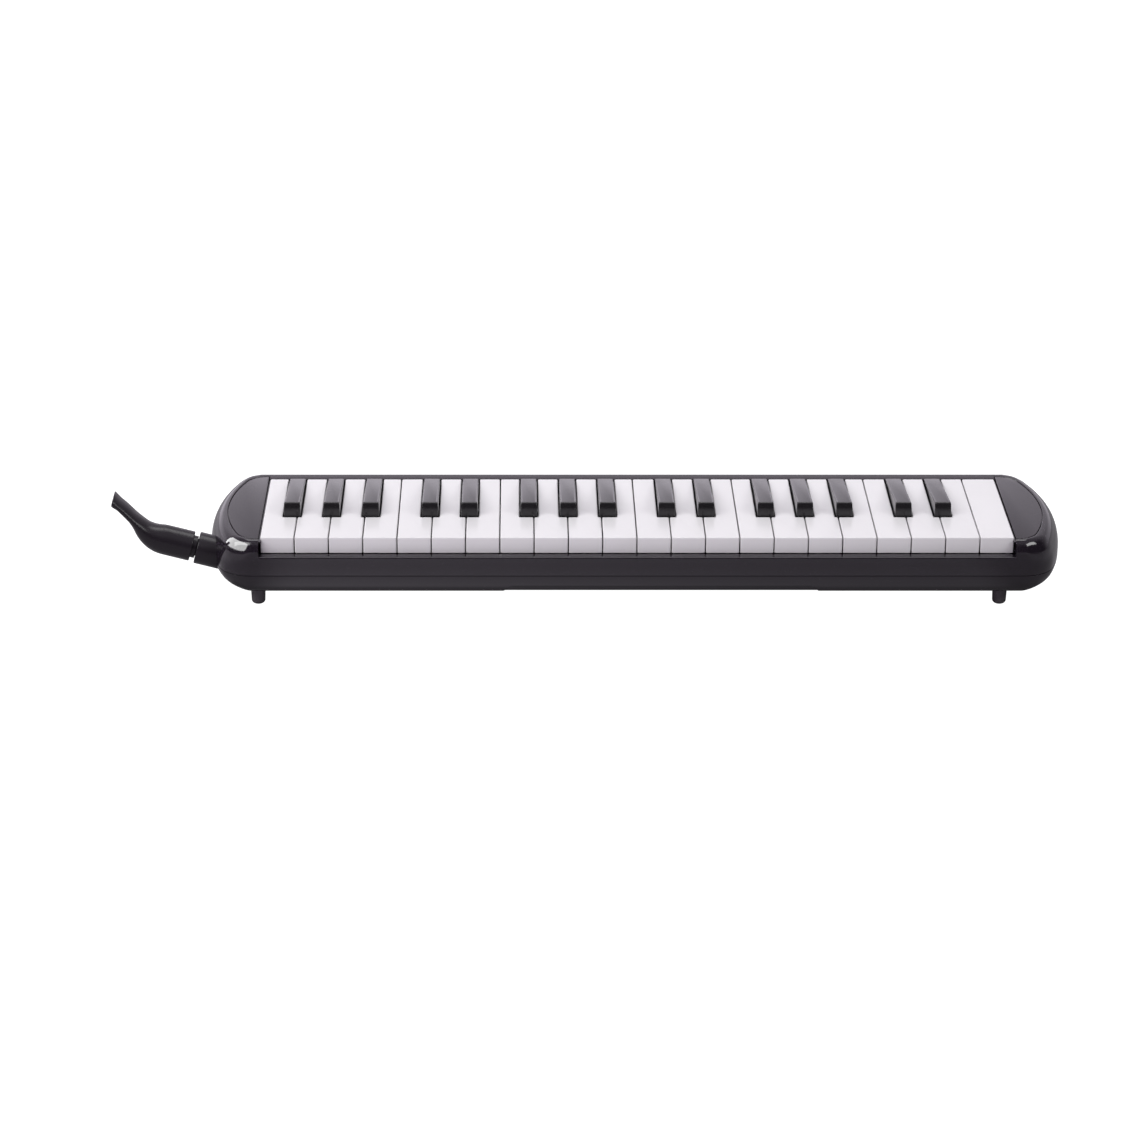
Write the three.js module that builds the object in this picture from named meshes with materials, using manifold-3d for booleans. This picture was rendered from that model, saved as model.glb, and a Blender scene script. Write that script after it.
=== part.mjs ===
// Melodica with 37 keys: a small wind keyboard blown through a mouthpiece at its left end.
// Millimetres, +Z up, the keys' front towards -Y. Inside the assembly X = 0 is the middle of the
// keyboard, Y = 0 the middle of the case and Z = 0 the surface that the feet stand on.
import * as THREE from 'three';
import { ConvexGeometry } from 'three/addons/geometries/ConvexGeometry.js';
import { mergeVertices } from 'three/addons/utils/BufferGeometryUtils.js';
import Module from 'manifold-3d';

const wasm = await Module();
wasm.setup();

// ---- driving dimensions ----

const seatGap = 0.3; // between pieces that rest on each other
const footHeight = 10.0;

// case
const frontLedge = 5.9; // case front to the keys' front
const backRim = 10.2; // keys' back to the case's back
const caseHeight = 33.6; // underside to rim
const endMargin = 30.5; // end of the keyboard to the far end of the case
const endArcRadius = 113.0;
const cornerRadius = 19.0;
const topEdgeRadius = 5.0;
const bottomEdgeRadius = 13.0;
const bottomEndDraw = 10.0; // by which the lower edge is drawn in further at the ends
const caseWall = 2.4;
const caseTopPlate = 3.0;
const caseFloor = 2.6;
const lowerCaseHeight = 13.5; // underside to seam
const cheekWall = 2.4;

// keys
const firstWhiteNote = 3; // F, counted from C
const whiteKeyCount = 22;
const keyPitch = 19.0;
const keySideGap = 0.6;
const keyEndGap = 0.8; // keys to the edges of their opening
const whiteKeyLength = 88.4;
const whiteKeyHeight = 9.5;
const whiteKeyDraft = 0.4; // front face leans back by this much at its foot
const keyPlate = 2.4;
const keySkirt = 1.5;
const keyTopAboveRim = 0.4;
const blackKeyLength = 56.8;
const blackKeyWidth = 9.4;
const blackKeyTopWidth = 7.4;
const blackKeyRise = 7.8; // above the white keys, at the front
const blackKeyTailRise = 0.4; // and at the back, which the top slopes down to
const blackKeyFace = 4.2; // height of the upright part of its front
const blackKeyNose = 1.5; // how far the slanted part above that leans back
const blackKeyEdge = 0.8; // height of the bevel along the top
const blackKeyEdgeSide = 0.64; // its width
const blackKeyChin = 0.3; // how far the upright face leans back
const blackKeyTailDrop = 2.4; // height of the sloping flank at the back
const whiteKeyEdge = 0.8; // rounding along the front
const blackKeyNotch = 1.2; // clearance in front of a black key

// key mechanism
const keyTail = 21.4; // shaft to the keys' back
const pivotDepth = 11.6; // below the white keys' top
const shaftRadius = 1.5;
const rockerWidth = 7.0;
const rockerReach = 4.0; // half length of the saddle over the shaft
const saddleWall = 1.9;
const padSetback = 0.9; // pad to the keys' back
const padLength = 8.5;
const padDrop = 5.4; // shaft's axis to the pads' faces
const whiteKeyTravel = 5.0; // at the front edge
const springLeafWidth = 3.0;
const springLeafThickness = 0.5;
const springStripWidth = 6.0;
const springReach = 16.0;
const springFromPivot = 7.0;
const feltThickness = 2.0;
const feltWidth = 10.0;
const feltSetback = 2.0; // keys' front to the felt
const railWall = 2.0;
const railInset = 1.0; // felt's edges to the rails under it

// air chamber
const chamberWall = 2.0;
const chamberFromFelt = 1.8;
const chamberFromPads = 4.3;
const chamberEndGap = 0.5; // chamber to the cheeks
const valvePlateThickness = 4.0;
const valveSkin = 1.4; // closes each cell above
const cellWidth = 4.4;
const portLength = 5.0;
const longestCell = 44.0;
const shortestCell = 22.0;
const reedWindowWidth = 2.4;
const reedPlateThickness = 1.2;
const reedPlateMargin = 5.0;

// blow socket and mouthpiece
const socketTilt = THREE.MathUtils.degToRad(14.8);
const socketFromFront = 27.9; // case front to the socket's axis
const socketHeight = 16.6; // underside to the axis where it leaves the case
const socketRadius = 9.0;
const socketBore = 5.6;
const socketOut = 9.5;
const socketIn = 9.0;
const boreDepth = 16.5;
const ductRadius = 3.4;
const ductBore = 2.4;
const plugRadius = 4.9;
const plugBore = 3.0;
const plugLength = 15.5;
const ringGrooveRadius = 4.0;
const ringGrooveWidth = 1.6;
const ringWire = 0.5;
const ringFromMouth = 7.5;
const neckRadius = 6.3;
const neckLength = 2.5;
const mouthRadius = 8.45;
const mouthWall = 1.5;
const mouthStraight = 17.0;
const mouthBendRadius = 20.5;
const mouthBend = THREE.MathUtils.degToRad(38.2);
const mouthBlade = 22.9; // from the bend to the tip
const bladeSweep = THREE.MathUtils.degToRad(11.5); // by which the blade curves back
const flattenBefore = 6.5; // flattening begins this far before the bend
const flattenAfter = 9.8; // and ends this far after it
const bladeHalfThickness = 2.95;
const bladeHalfWidth = 7.6;
const lipHalfThickness = 3.7;
const lipHalfWidth = 8.0;
const lipLength = 2.5;
const tipFaceTilt = THREE.MathUtils.degToRad(15);

// end panels
const panelThickness = 1.0;
const panelGroove = 0.5;
const panelEndInset = 10.0; // case end to panel
const panelSideInset = 5.7; // case front and back to panel
const panelCorner = 12.0;
const panelKeyMargin = 0.8; // keyboard end to the panel's straight edge

// feet, strap and drain
const footRadius = 4.15;
const footTaper = 0.3;
const footRounding = 2.0;
const footInset = 17.4; // case front or back to a foot's centre
const leftFootFromEnd = 28.0;
const rightFootFromEnd = 35.5;
const strapSpan = 190.0;
const strapWidth = 30.0;
const strapThickness = 1.6;
const strapBow = 4.0;
const anchorLength = 14.0;
const anchorHeight = 5.6;
const anchorWall = 1.5;
const gripStart = -69.5; // the relief on the lower front edge, along X
const gripEnd = 97.0;
const gripHeight = 6.8;
const gripReach = 11.0;
const gripEndSlope = 6.0;
const drainFromEnd = 49.5;
const drainY = -10.0;
const drainHeadRadius = 5.0;
const drainHeadHeight = 2.5;
const drainHeadBelow = 4.0; // head's upper face below the case
const drainStemRadius = 1.8;
const drainDiscRadius = 4.5;
const drainDiscHeight = 1.5;
const drainSpringRadius = 3.0;
const drainWire = 0.35;
const drainTurns = 3;
const runningGap = 0.3;

// ---- sizes that follow ----

const keyboardLength = whiteKeyCount * keyPitch;
const keyboardEnd = keyboardLength / 2;
const caseEnd = keyboardEnd + endMargin;
const caseDepth = frontLedge + whiteKeyLength + backRim;
const caseBack = caseDepth / 2;
const caseFront = -caseBack;
const caseBottom = footHeight;
const caseTop = caseBottom + caseHeight;
const seam = caseBottom + lowerCaseHeight;
const floorTop = caseBottom + caseFloor;
const keyTop = caseTop + keyTopAboveRim;
const keyFront = caseFront + frontLedge;
const keyBack = keyFront + whiteKeyLength;
const blackKeyFront = keyBack - blackKeyLength;
const keyFoot = keyTop - whiteKeyHeight;
const openingEnd = keyboardEnd + keyEndGap - keySideGap / 2;
const pivotY = keyBack - keyTail;
const pivotZ = keyTop - pivotDepth;
const padBottom = pivotZ - padDrop;
const valvePlateTop = padBottom - seatGap;
const valvePlateBottom = valvePlateTop - valvePlateThickness;
const chamberTop = valvePlateBottom - seatGap;
const chamberBottom = floorTop + seatGap;
const chamberEnd = openingEnd - chamberEndGap;
const padBack = keyBack - padSetback;
const padFront = padBack - padLength;
const portBack = padFront + (padLength + portLength) / 2;
const chamberBack = padBack + chamberFromPads;
const feltFront = keyFront + feltSetback;
const chamberFront = feltFront + feltWidth + chamberFromFelt;
const feltTop = keyFoot - whiteKeyTravel - seatGap;
const ductHeight = chamberTop - ductRadius - 2 * runningGap;

// ---- solids ----

// Closed three.js geometry to a manifold solid.
function solid(geometry) {
  geometry.deleteAttribute('normal');
  geometry.deleteAttribute('uv');
  const merged = mergeVertices(geometry, 1e-4);
  return new wasm.Manifold(new wasm.Mesh({
    numProp: 3,
    vertProperties: new Float32Array(merged.attributes.position.array),
    triVerts: new Uint32Array(merged.index.array),
  }));
}

// Manifold solid back to a three.js geometry.
function surface(body) {
  const mesh = body.getMesh();
  const geometry = new THREE.BufferGeometry();
  geometry.setAttribute('position', new THREE.BufferAttribute(mesh.vertProperties, 3));
  geometry.setIndex(new THREE.BufferAttribute(mesh.triVerts, 1));
  geometry.computeVertexNormals();
  return geometry;
}

function box(x0, x1, y0, y1, z0, z1) {
  const geometry = new THREE.BoxGeometry(x1 - x0, y1 - y0, z1 - z0);
  geometry.translate((x0 + x1) / 2, (y0 + y1) / 2, (z0 + z1) / 2);
  return solid(geometry);
}

// Straight extrusion of a shape in X and Y from z0 to z1.
function upright(shape, z0, z1, curveSegments = 6) {
  const options = { depth: z1 - z0, bevelEnabled: false, curveSegments };
  const geometry = new THREE.ExtrudeGeometry(shape, options);
  geometry.translate(0, 0, z0);
  return geometry;
}

// Extrusion along X, from x0 to x1, of a shape whose own axes are Y and Z.
function alongX(shape, x0, x1, curveSegments = 6) {
  const geometry = upright(shape, x0, x1, curveSegments);
  geometry.rotateZ(Math.PI / 2);
  geometry.rotateY(Math.PI / 2);
  return geometry;
}

// Extrusion along Y, from y0 to y1, of a shape whose own axes are X and Z.
function alongY(shape, y0, y1, curveSegments = 6) {
  const geometry = upright(shape, -y1, -y0, curveSegments);
  geometry.rotateX(Math.PI / 2);
  return geometry;
}

function polygon(points) {
  return new THREE.Shape(points.map(([x, y]) => new THREE.Vector2(x, y)));
}

// Solid of revolution about Z; the profile lists radius and height.
function turned(profile, segments = 20) {
  const points = profile.map(([radius, height]) => new THREE.Vector2(radius, height));
  const geometry = new THREE.LatheGeometry(points, segments);
  geometry.rotateX(Math.PI / 2);
  return geometry;
}

// A closed profile for a turned pin or disc, from its axis out and back.
function pin(radius, bottom, top, segments = 20) {
  return turned([[0, bottom], [radius, bottom], [radius, top], [0, top]], segments);
}

function rodAlongX(radius, x0, x1, y, z, segments = 16) {
  const geometry = new THREE.CylinderGeometry(radius, radius, x1 - x0, segments);
  geometry.rotateZ(Math.PI / 2);
  geometry.translate((x0 + x1) / 2, y, z);
  return geometry;
}

function joinAll(bodies) {
  return bodies.reduce((whole, body) => whole.add(body));
}

function cutAll(body, tools) {
  return tools.reduce((rest, tool) => rest.subtract(tool), body);
}

// ---- case ----

// Plan of an end: a large arc about a centre on the X axis, joined to straight sides by two corner
// arcs that touch both. Draws from the front side to the back side.
function drawRightEnd(shape, centreX, endRadius, corner, halfDepth) {
  const cornerY = halfDepth - corner;
  const reach = endRadius - corner;
  const cornerX = centreX + Math.sqrt(reach * reach - cornerY * cornerY);
  const turn = Math.asin(cornerY / reach);
  shape.lineTo(cornerX, -halfDepth);
  shape.absarc(cornerX, -cornerY, corner, -Math.PI / 2, -turn);
  shape.absarc(centreX, 0, endRadius, -turn, turn);
  shape.absarc(cornerX, cornerY, corner, turn, Math.PI / 2);
}

// Plan of the case, set in by inset on every side.
function caseOutline(inset) {
  const centreX = caseEnd - endArcRadius;
  const half = new THREE.Shape();
  half.moveTo(0, caseFront + inset);
  drawRightEnd(half, centreX, endArcRadius - inset, cornerRadius - inset, caseBack - inset);
  half.lineTo(0, caseBack - inset);
  const right = half.getPoints(5);
  const left = right.slice(1, -1).map((point) => new THREE.Vector2(-point.x, -point.y));
  return new THREE.Shape([...right, ...left]);
}

// Block with the case's plan and both edges rounded. Its lower edge is drawn in further towards the
// ends, by up to endDraw at the very bottom.
function roundedBlock(inset, bottom, top, edge, endDraw = 0) {
  const geometry = new THREE.ExtrudeGeometry(caseOutline(inset), {
    depth: top - bottom - 2 * edge,
    bevelThickness: edge,
    bevelSize: edge,
    bevelOffset: -edge,
    bevelSegments: 3,
  });
  geometry.translate(0, 0, bottom + edge);
  const position = geometry.attributes.position;
  for (let index = 0; index < position.count; index += 1) {
    const x = position.getX(index);
    const drop = THREE.MathUtils.clamp((bottom + edge - position.getZ(index)) / edge, 0, 1);
    const drawn = 1 - Math.sqrt(1 - drop * drop);
    const towardsEnd = THREE.MathUtils.clamp((Math.abs(x) + edge * drawn - keyboardEnd) / endMargin, 0, 1);
    position.setX(index, x - Math.sign(x) * endDraw * drawn * towardsEnd);
  }
  return solid(geometry);
}

function slab(bottom, top) {
  return box(-2 * caseEnd, 2 * caseEnd, -caseDepth, caseDepth, bottom, top);
}

// Straight-edged panel shape for the right end.
function panelOutline(grow) {
  const shape = new THREE.Shape();
  const halfDepth = caseBack - panelSideInset + grow;
  const innerEdge = keyboardEnd + panelKeyMargin - grow;
  const centreX = caseEnd - endArcRadius;
  const endRadius = endArcRadius - panelEndInset + grow;
  shape.moveTo(innerEdge, -halfDepth);
  drawRightEnd(shape, centreX, endRadius, panelCorner + grow, halfDepth);
  shape.lineTo(innerEdge, halfDepth);
  return shape;
}

function endPanel(turn, grow, bottom, top) {
  const geometry = upright(panelOutline(grow), bottom, top, 5);
  geometry.rotateZ(turn);
  return solid(geometry);
}

// Places a solid made about Z, mouth upwards, on the tilted axis of the blow socket.
function onSocketAxis(geometry) {
  geometry.rotateY(-(Math.PI / 2 - socketTilt));
  geometry.translate(socketX, socketY, socketZ);
  return geometry;
}

const socketY = caseFront + socketFromFront;
const socketX = -(caseEnd - endArcRadius + Math.sqrt(endArcRadius ** 2 - socketY ** 2));
const socketZ = caseBottom + socketHeight;

function socketHole() {
  const spout = solid(onSocketAxis(pin(socketRadius + seatGap, -2 * socketIn, 2 * socketOut, 24)));
  return spout.add(solid(rodAlongX(ductRadius + seatGap, socketX, -chamberEnd, socketY, ductHeight)));
}

function upperCase() {
  const hull = roundedBlock(0, seam - 3 * topEdgeRadius, caseTop, topEdgeRadius)
    .intersect(slab(seam, caseTop + 1));
  const innerEdge = Math.max(topEdgeRadius - caseWall, 1);
  const cavity = roundedBlock(caseWall, seam - 3 * innerEdge, caseTop - caseTopPlate, innerEdge);
  const openingFront = keyFront - keyEndGap;
  const opening = box(-openingEnd, openingEnd, openingFront, keyBack + keyEndGap, seam - 1, caseTop + 1);
  const step = box(-openingEnd, openingEnd, caseFront - 1, keyFront, keyFoot, caseTop + 1);
  const shell = cutAll(hull, [cavity, opening, step]);
  const ledge = box(-openingEnd - 1, openingEnd + 1, caseFront, openingFront, keyFoot - caseWall, keyFoot);
  const cheeks = [-1, 1].map((side) => {
    const near = side * openingEnd;
    const far = side * (openingEnd + cheekWall);
    return box(Math.min(near, far), Math.max(near, far), caseFront, caseBack, seam, caseTop);
  });
  const inner = joinAll([ledge, ...cheeks]).intersect(hull);
  const recesses = [0, Math.PI].map((turn) => endPanel(
    turn, panelGroove, caseTop - panelThickness - seatGap, caseTop + 1));
  const shaftHole = solid(rodAlongX(shaftRadius + runningGap, -caseEnd + 20, caseEnd - 20, pivotY, pivotZ));
  return cutAll(shell.add(inner), [...recesses, shaftHole, socketHole()]);
}

// Wedge taken off the lower front edge, with slanted ends.
function gripRelief() {
  const middle = (gripStart + gripEnd) / 2;
  const half = (gripEnd - gripStart) / 2;
  const section = polygon([
    [caseFront - 1, caseBottom - 1],
    [caseFront + gripReach, caseBottom - 1],
    [caseFront + gripReach, caseBottom],
    [caseFront + 1, caseBottom + gripHeight],
    [caseFront - 1, caseBottom + gripHeight],
  ]);
  const face = polygon([
    [middle - half - gripEndSlope, caseBottom - 1],
    [middle + half + gripEndSlope, caseBottom - 1],
    [middle + half, caseBottom + gripHeight + 1],
    [middle - half, caseBottom + gripHeight + 1],
  ]);
  const long = solid(alongX(section, -caseEnd, caseEnd));
  return long.intersect(solid(alongY(face, -caseDepth, caseDepth)));
}

function lowerCase() {
  const top = seam - seatGap;
  const hull = roundedBlock(0, caseBottom, top + 2 * bottomEdgeRadius, bottomEdgeRadius, bottomEndDraw)
    .intersect(slab(caseBottom - 1, top));
  const innerEdge = bottomEdgeRadius - caseWall;
  const cavity = roundedBlock(caseWall, floorTop, top + 3 * innerEdge, innerEdge, bottomEndDraw);
  const railTop = feltTop - feltThickness - seatGap;
  const railEnd = chamberEnd - chamberWall;
  const railFronts = [feltFront + railInset, feltFront + feltWidth - railInset - railWall];
  const rails = railFronts.map((front) => box(
    -railEnd, railEnd, front, front + railWall, floorTop - 1, railTop));
  const drainHole = pin(drainStemRadius + runningGap, caseBottom - 1, floorTop + 1, 16);
  drainHole.translate(drainX, drainY, 0);
  const body = joinAll([hull.subtract(cavity), ...rails]);
  return cutAll(body, [gripRelief(), solid(drainHole), socketHole()]);
}

// ---- keys ----

// Where each black key stands from the line between its two white neighbours, by the white note
// below it counted from C. The notes without an entry have no black key above them.
const blackKeyShift = { 0: -1.4, 1: 1.8, 3: -2.8, 4: 0.3, 5: 3.4 };
const noteNames = ['c', 'd', 'e', 'f', 'g', 'a', 'b'];
const firstOctave = 3;

// One entry per key, low to high, with the sides of its rear part.
function keyLayout() {
  const keys = [];
  const halfBlack = blackKeyWidth / 2 + keySideGap;
  for (let index = 0; index < whiteKeyCount; index += 1) {
    const step = firstWhiteNote + index;
    const note = step % 7;
    const before = (note + 6) % 7;
    const name = `key_${noteNames[note]}${firstOctave + Math.floor(step / 7)}`;
    const left = -keyboardEnd + index * keyPitch;
    const right = left + keyPitch;
    const sharp = note in blackKeyShift && index < whiteKeyCount - 1;
    const flat = before in blackKeyShift && index > 0;
    const key = { name, black: false, left: left + keySideGap / 2, right: right - keySideGap / 2 };
    key.rearLeft = flat ? left + blackKeyShift[before] + halfBlack : key.left;
    key.rearRight = sharp ? right + blackKeyShift[note] - halfBlack : key.right;
    key.centre = (key.rearLeft + key.rearRight) / 2;
    keys.push(key);
    if (sharp) {
      keys.push({ name: `${name}_sharp`, black: true, centre: right + blackKeyShift[note] });
    }
  }
  return keys;
}

// Plan of a white key, narrowed beside its black neighbours, set in by inset.
function whiteKeyPlan(key, inset) {
  const front = keyFront + inset;
  const back = keyBack - inset;
  const shoulder = blackKeyFront - blackKeyNotch - inset;
  const points = [[key.left + inset, front], [key.right - inset, front]];
  if (key.rearRight < key.right) {
    points.push([key.right - inset, shoulder], [key.rearRight - inset, shoulder]);
  }
  points.push([key.rearRight - inset, back], [key.rearLeft + inset, back]);
  if (key.rearLeft > key.left) {
    points.push([key.rearLeft + inset, shoulder], [key.left + inset, shoulder]);
  }
  return polygon(points);
}

// Saddle over the shaft and arm down to the valve, as one rib under the key's rear part.
function rocker(key) {
  const root = keyTop - keyPlate / 2;
  const saddleFoot = pivotZ - shaftRadius - saddleWall;
  const notch = shaftRadius + runningGap;
  const shape = new THREE.Shape();
  shape.moveTo(pivotY - rockerReach, root);
  shape.lineTo(pivotY - rockerReach, saddleFoot);
  shape.lineTo(pivotY - notch, saddleFoot);
  shape.lineTo(pivotY - notch, pivotZ);
  shape.absarc(pivotY, pivotZ, notch, Math.PI, 0, true);
  shape.lineTo(pivotY + notch, saddleFoot);
  shape.lineTo(pivotY + rockerReach, saddleFoot);
  shape.lineTo(pivotY + rockerReach, pivotZ + notch);
  shape.lineTo(padFront, pivotZ + notch);
  shape.lineTo(padFront, padBottom);
  shape.lineTo(padBack, padBottom);
  shape.lineTo(padBack, root);
  return solid(alongX(shape, key.centre - rockerWidth / 2, key.centre + rockerWidth / 2, 4));
}

function whiteKey(key) {
  const edge = whiteKeyEdge;
  const side = polygon([
    [keyFront + whiteKeyDraft, keyFoot],
    [keyFront, keyTop - edge],
    [keyFront + 0.3 * edge, keyTop - 0.3 * edge],
    [keyFront + edge, keyTop],
    [keyBack, keyTop],
    [keyBack, keyFoot],
  ]);
  const block = solid(upright(whiteKeyPlan(key, 0), keyFoot, keyTop));
  const rounded = block.intersect(solid(alongX(side, key.left - 1, key.right + 1)));
  const pocket = solid(upright(whiteKeyPlan(key, keySkirt), keyFoot - 1, keyTop - keyPlate));
  return rounded.subtract(pocket).add(rocker(key));
}

// Wedge that is highest at the front, with bevelled upper edges and a pocket underneath.
function blackKey(key) {
  const base = blackKeyWidth / 2;
  const crown = blackKeyTopWidth / 2;
  const shoulder = crown + blackKeyEdgeSide;
  const crest = keyTop + blackKeyRise;
  const tail = keyTop + blackKeyTailRise;
  const section = [
    [base, blackKeyFront, keyFoot],
    [base, blackKeyFront, keyTop],
    [shoulder, blackKeyFront + blackKeyChin, keyTop + blackKeyFace],
    [shoulder, blackKeyFront + blackKeyNose - blackKeyChin, crest - blackKeyEdge],
    [crown, blackKeyFront + blackKeyNose, crest],
    [crown, keyBack, tail],
    [shoulder, keyBack, tail - blackKeyEdge],
    [base, keyBack, tail - blackKeyTailDrop],
    [base, keyBack, keyFoot],
  ];
  const corners = section.flatMap(([x, y, z]) => [new THREE.Vector3(x, y, z), new THREE.Vector3(-x, y, z)]);
  const inner = base - keySkirt;
  const pocket = box(-inner, inner, blackKeyFront + keySkirt, keyBack - keySkirt,
    keyFoot - 1, tail - keyPlate);
  return solid(new ConvexGeometry(corners)).subtract(pocket).translate([key.centre, 0, 0]).add(rocker(key));
}

// ---- key bed and air chamber ----

const keys = keyLayout();
const noteSpan = keys.length - 1;

function cellLength(index) {
  return THREE.MathUtils.lerp(longestCell, shortestCell, index / noteSpan);
}

function keyShaft() {
  const end = openingEnd + cheekWall + 1.5;
  return rodAlongX(shaftRadius, -end, end, pivotY, pivotZ);
}

// Plate that closes the chamber: a cell per note from below, a port up to its valve, and posts that
// hold the shaft where two white keys meet without a black one.
function valvePlate() {
  const plate = box(-chamberEnd, chamberEnd, chamberFront, chamberBack, valvePlateBottom, valvePlateTop);
  const half = cellWidth / 2;
  const cuts = keys.flatMap((key, index) => {
    const back = portBack;
    const left = key.centre - half;
    const right = key.centre + half;
    const roof = valvePlateTop - valveSkin;
    return [
      box(left, right, back - cellLength(index), back, valvePlateBottom - 1, roof),
      box(left, right, back - portLength, back, roof - 1, valvePlateTop + 1),
    ];
  });
  const posts = keys.slice(1).filter((key, index) => !key.black && !keys[index].black).map((key) => {
    const left = key.left - keySideGap / 2 - 0.5;
    return box(left, left + 2, pivotY - 3, pivotY + 3, valvePlateTop - 0.5, pivotZ);
  });
  const shaft = solid(rodAlongX(shaftRadius + runningGap, -caseEnd, caseEnd, pivotY, pivotZ));
  return joinAll([cutAll(plate, cuts), ...posts]).subtract(shaft);
}

// Block of the chamber's plan, set in by inset, whose lower edges keep clear of the rounded case.
function chamberBlock(inset, top) {
  const bottom = chamberBottom + inset;
  const margin = caseWall + seatGap + inset;
  const edge = bottomEdgeRadius - margin;
  const block = box(inset - chamberEnd, chamberEnd - inset, chamberFront + inset, chamberBack - inset,
    bottom, top);
  return block.intersect(roundedBlock(margin, bottom, top + 3 * edge, edge, bottomEndDraw));
}

// Tub under the valve plate, with a drain hole in its floor and the duct's hole in its left end.
function airChamber() {
  const inner = chamberEnd - chamberWall;
  const floor = chamberBottom + chamberWall;
  const outside = chamberBlock(0, chamberTop);
  const inside = chamberBlock(chamberWall, chamberTop + 1);
  const drain = pin(drainStemRadius + runningGap, chamberBottom - 1, floor + 1, 16);
  drain.translate(drainX, drainY, 0);
  const duct = rodAlongX(ductRadius + runningGap, -chamberEnd - 1, -inner + 1, socketY, ductHeight);
  return cutAll(outside, [inside, solid(drain), solid(duct)]);
}

// Brass plate with one window per reed, for the keys from first to last.
function reedPlate(first, last) {
  const set = keys.slice(first, last);
  const left = set[0].centre - reedWindowWidth / 2 - 1.4;
  const right = set[set.length - 1].centre + reedWindowWidth / 2 + 1.4;
  const back = portBack + 1;
  const front = portBack - cellLength(first) - reedPlateMargin;
  const plate = box(left, right, front, back, chamberTop - reedPlateThickness, chamberTop);
  const windows = set.map((key, offset) => {
    const half = reedWindowWidth / 2;
    const length = cellLength(first + offset) - 4;
    return box(key.centre - half, key.centre + half, portBack - 2 - length, portBack - 2,
      chamberTop - 2 * reedPlateThickness, chamberTop + 1);
  });
  return cutAll(plate, windows);
}

// Strip of spring steel with a leaf rising under each key.
function springComb() {
  const contact = pivotY - springFromPivot;
  const root = contact - springReach;
  const low = valvePlateTop + seatGap;
  const high = keyTop - keyPlate - seatGap - springLeafThickness;
  const flat = 4;
  const leaf = polygon([
    [root - 1, low],
    [root, low],
    [contact - flat, high],
    [contact, high],
    [contact, high + springLeafThickness],
    [contact - flat - 0.4, high + springLeafThickness],
    [root - 0.4, low + springLeafThickness],
    [root - 1, low + springLeafThickness],
  ]);
  const end = chamberEnd - chamberWall;
  const strip = box(-end, end, root - springStripWidth, root, low, low + springLeafThickness);
  const leaves = keys.map((key) => solid(alongX(
    leaf, key.centre - springLeafWidth / 2, key.centre + springLeafWidth / 2)));
  return joinAll([strip, ...leaves]);
}

function stopFelt() {
  const end = chamberEnd - chamberWall;
  return box(-end, end, feltFront, feltFront + feltWidth, feltTop - feltThickness, feltTop);
}

// ---- blow socket and mouthpiece ----

// Tilted spout through the case's end, with a level duct from its inner end to the chamber.
function blowSocket() {
  const spout = solid(onSocketAxis(pin(socketRadius, -socketIn, socketOut, 24)));
  const ductStart = socketX + socketIn * Math.cos(socketTilt) - 0.2 * socketRadius;
  const ductEnd = -chamberEnd + chamberWall + runningGap / 2;
  const duct = solid(rodAlongX(ductRadius, ductStart, ductEnd, socketY, ductHeight));
  const bore = solid(onSocketAxis(pin(socketBore, socketOut - boreDepth, socketOut + 1, 24)));
  const boreEnd = socketX + (boreDepth - socketOut) * Math.cos(socketTilt) - 2;
  const passage = solid(rodAlongX(ductBore, boreEnd, ductEnd + 1, socketY, ductHeight));
  return spout.add(duct).subtract(bore).subtract(passage);
}

// Distances along the mouthpiece's axis from the case's outer face.
const neckStart = socketOut + seatGap;
const mouthStart = neckStart + neckLength;
const bendStart = mouthStart + mouthStraight;
const bendEnd = bendStart + mouthBendRadius * mouthBend;
const tipEnd = bendEnd + mouthBlade;

// Point of the mouthpiece's axis, in the plane of the bend, and its slope there.
function mouthAxis(distance) {
  const straight = Math.min(distance, bendStart);
  const turn = THREE.MathUtils.clamp((distance - bendStart) / mouthBendRadius, 0, mouthBend);
  const elbow = socketTilt + turn;
  const sweepRadius = mouthBlade / bladeSweep;
  const slope = elbow - Math.max(distance - bendEnd, 0) / sweepRadius;
  const out = straight * Math.cos(socketTilt)
    + mouthBendRadius * (Math.sin(elbow) - Math.sin(socketTilt))
    + sweepRadius * (Math.sin(elbow) - Math.sin(slope));
  const up = straight * Math.sin(socketTilt)
    + mouthBendRadius * (Math.cos(socketTilt) - Math.cos(elbow))
    + sweepRadius * (Math.cos(slope) - Math.cos(elbow));
  return { out, up, slope };
}

// Half sizes of the mouthpiece's outside: round at the plug, an oval blade and a flared lip.
function mouthSection(distance) {
  const flatten = THREE.MathUtils.smoothstep(distance, bendStart - flattenBefore, bendEnd + flattenAfter);
  const flare = THREE.MathUtils.smoothstep(distance, tipEnd - 2 * lipLength, tipEnd);
  const thin = THREE.MathUtils.lerp(mouthRadius, bladeHalfThickness, flatten);
  const wide = THREE.MathUtils.lerp(mouthRadius, bladeHalfWidth, flatten);
  return {
    thin: thin + flare * (lipHalfThickness - bladeHalfThickness),
    wide: wide + flare * (lipHalfWidth - bladeHalfWidth),
  };
}

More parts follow.
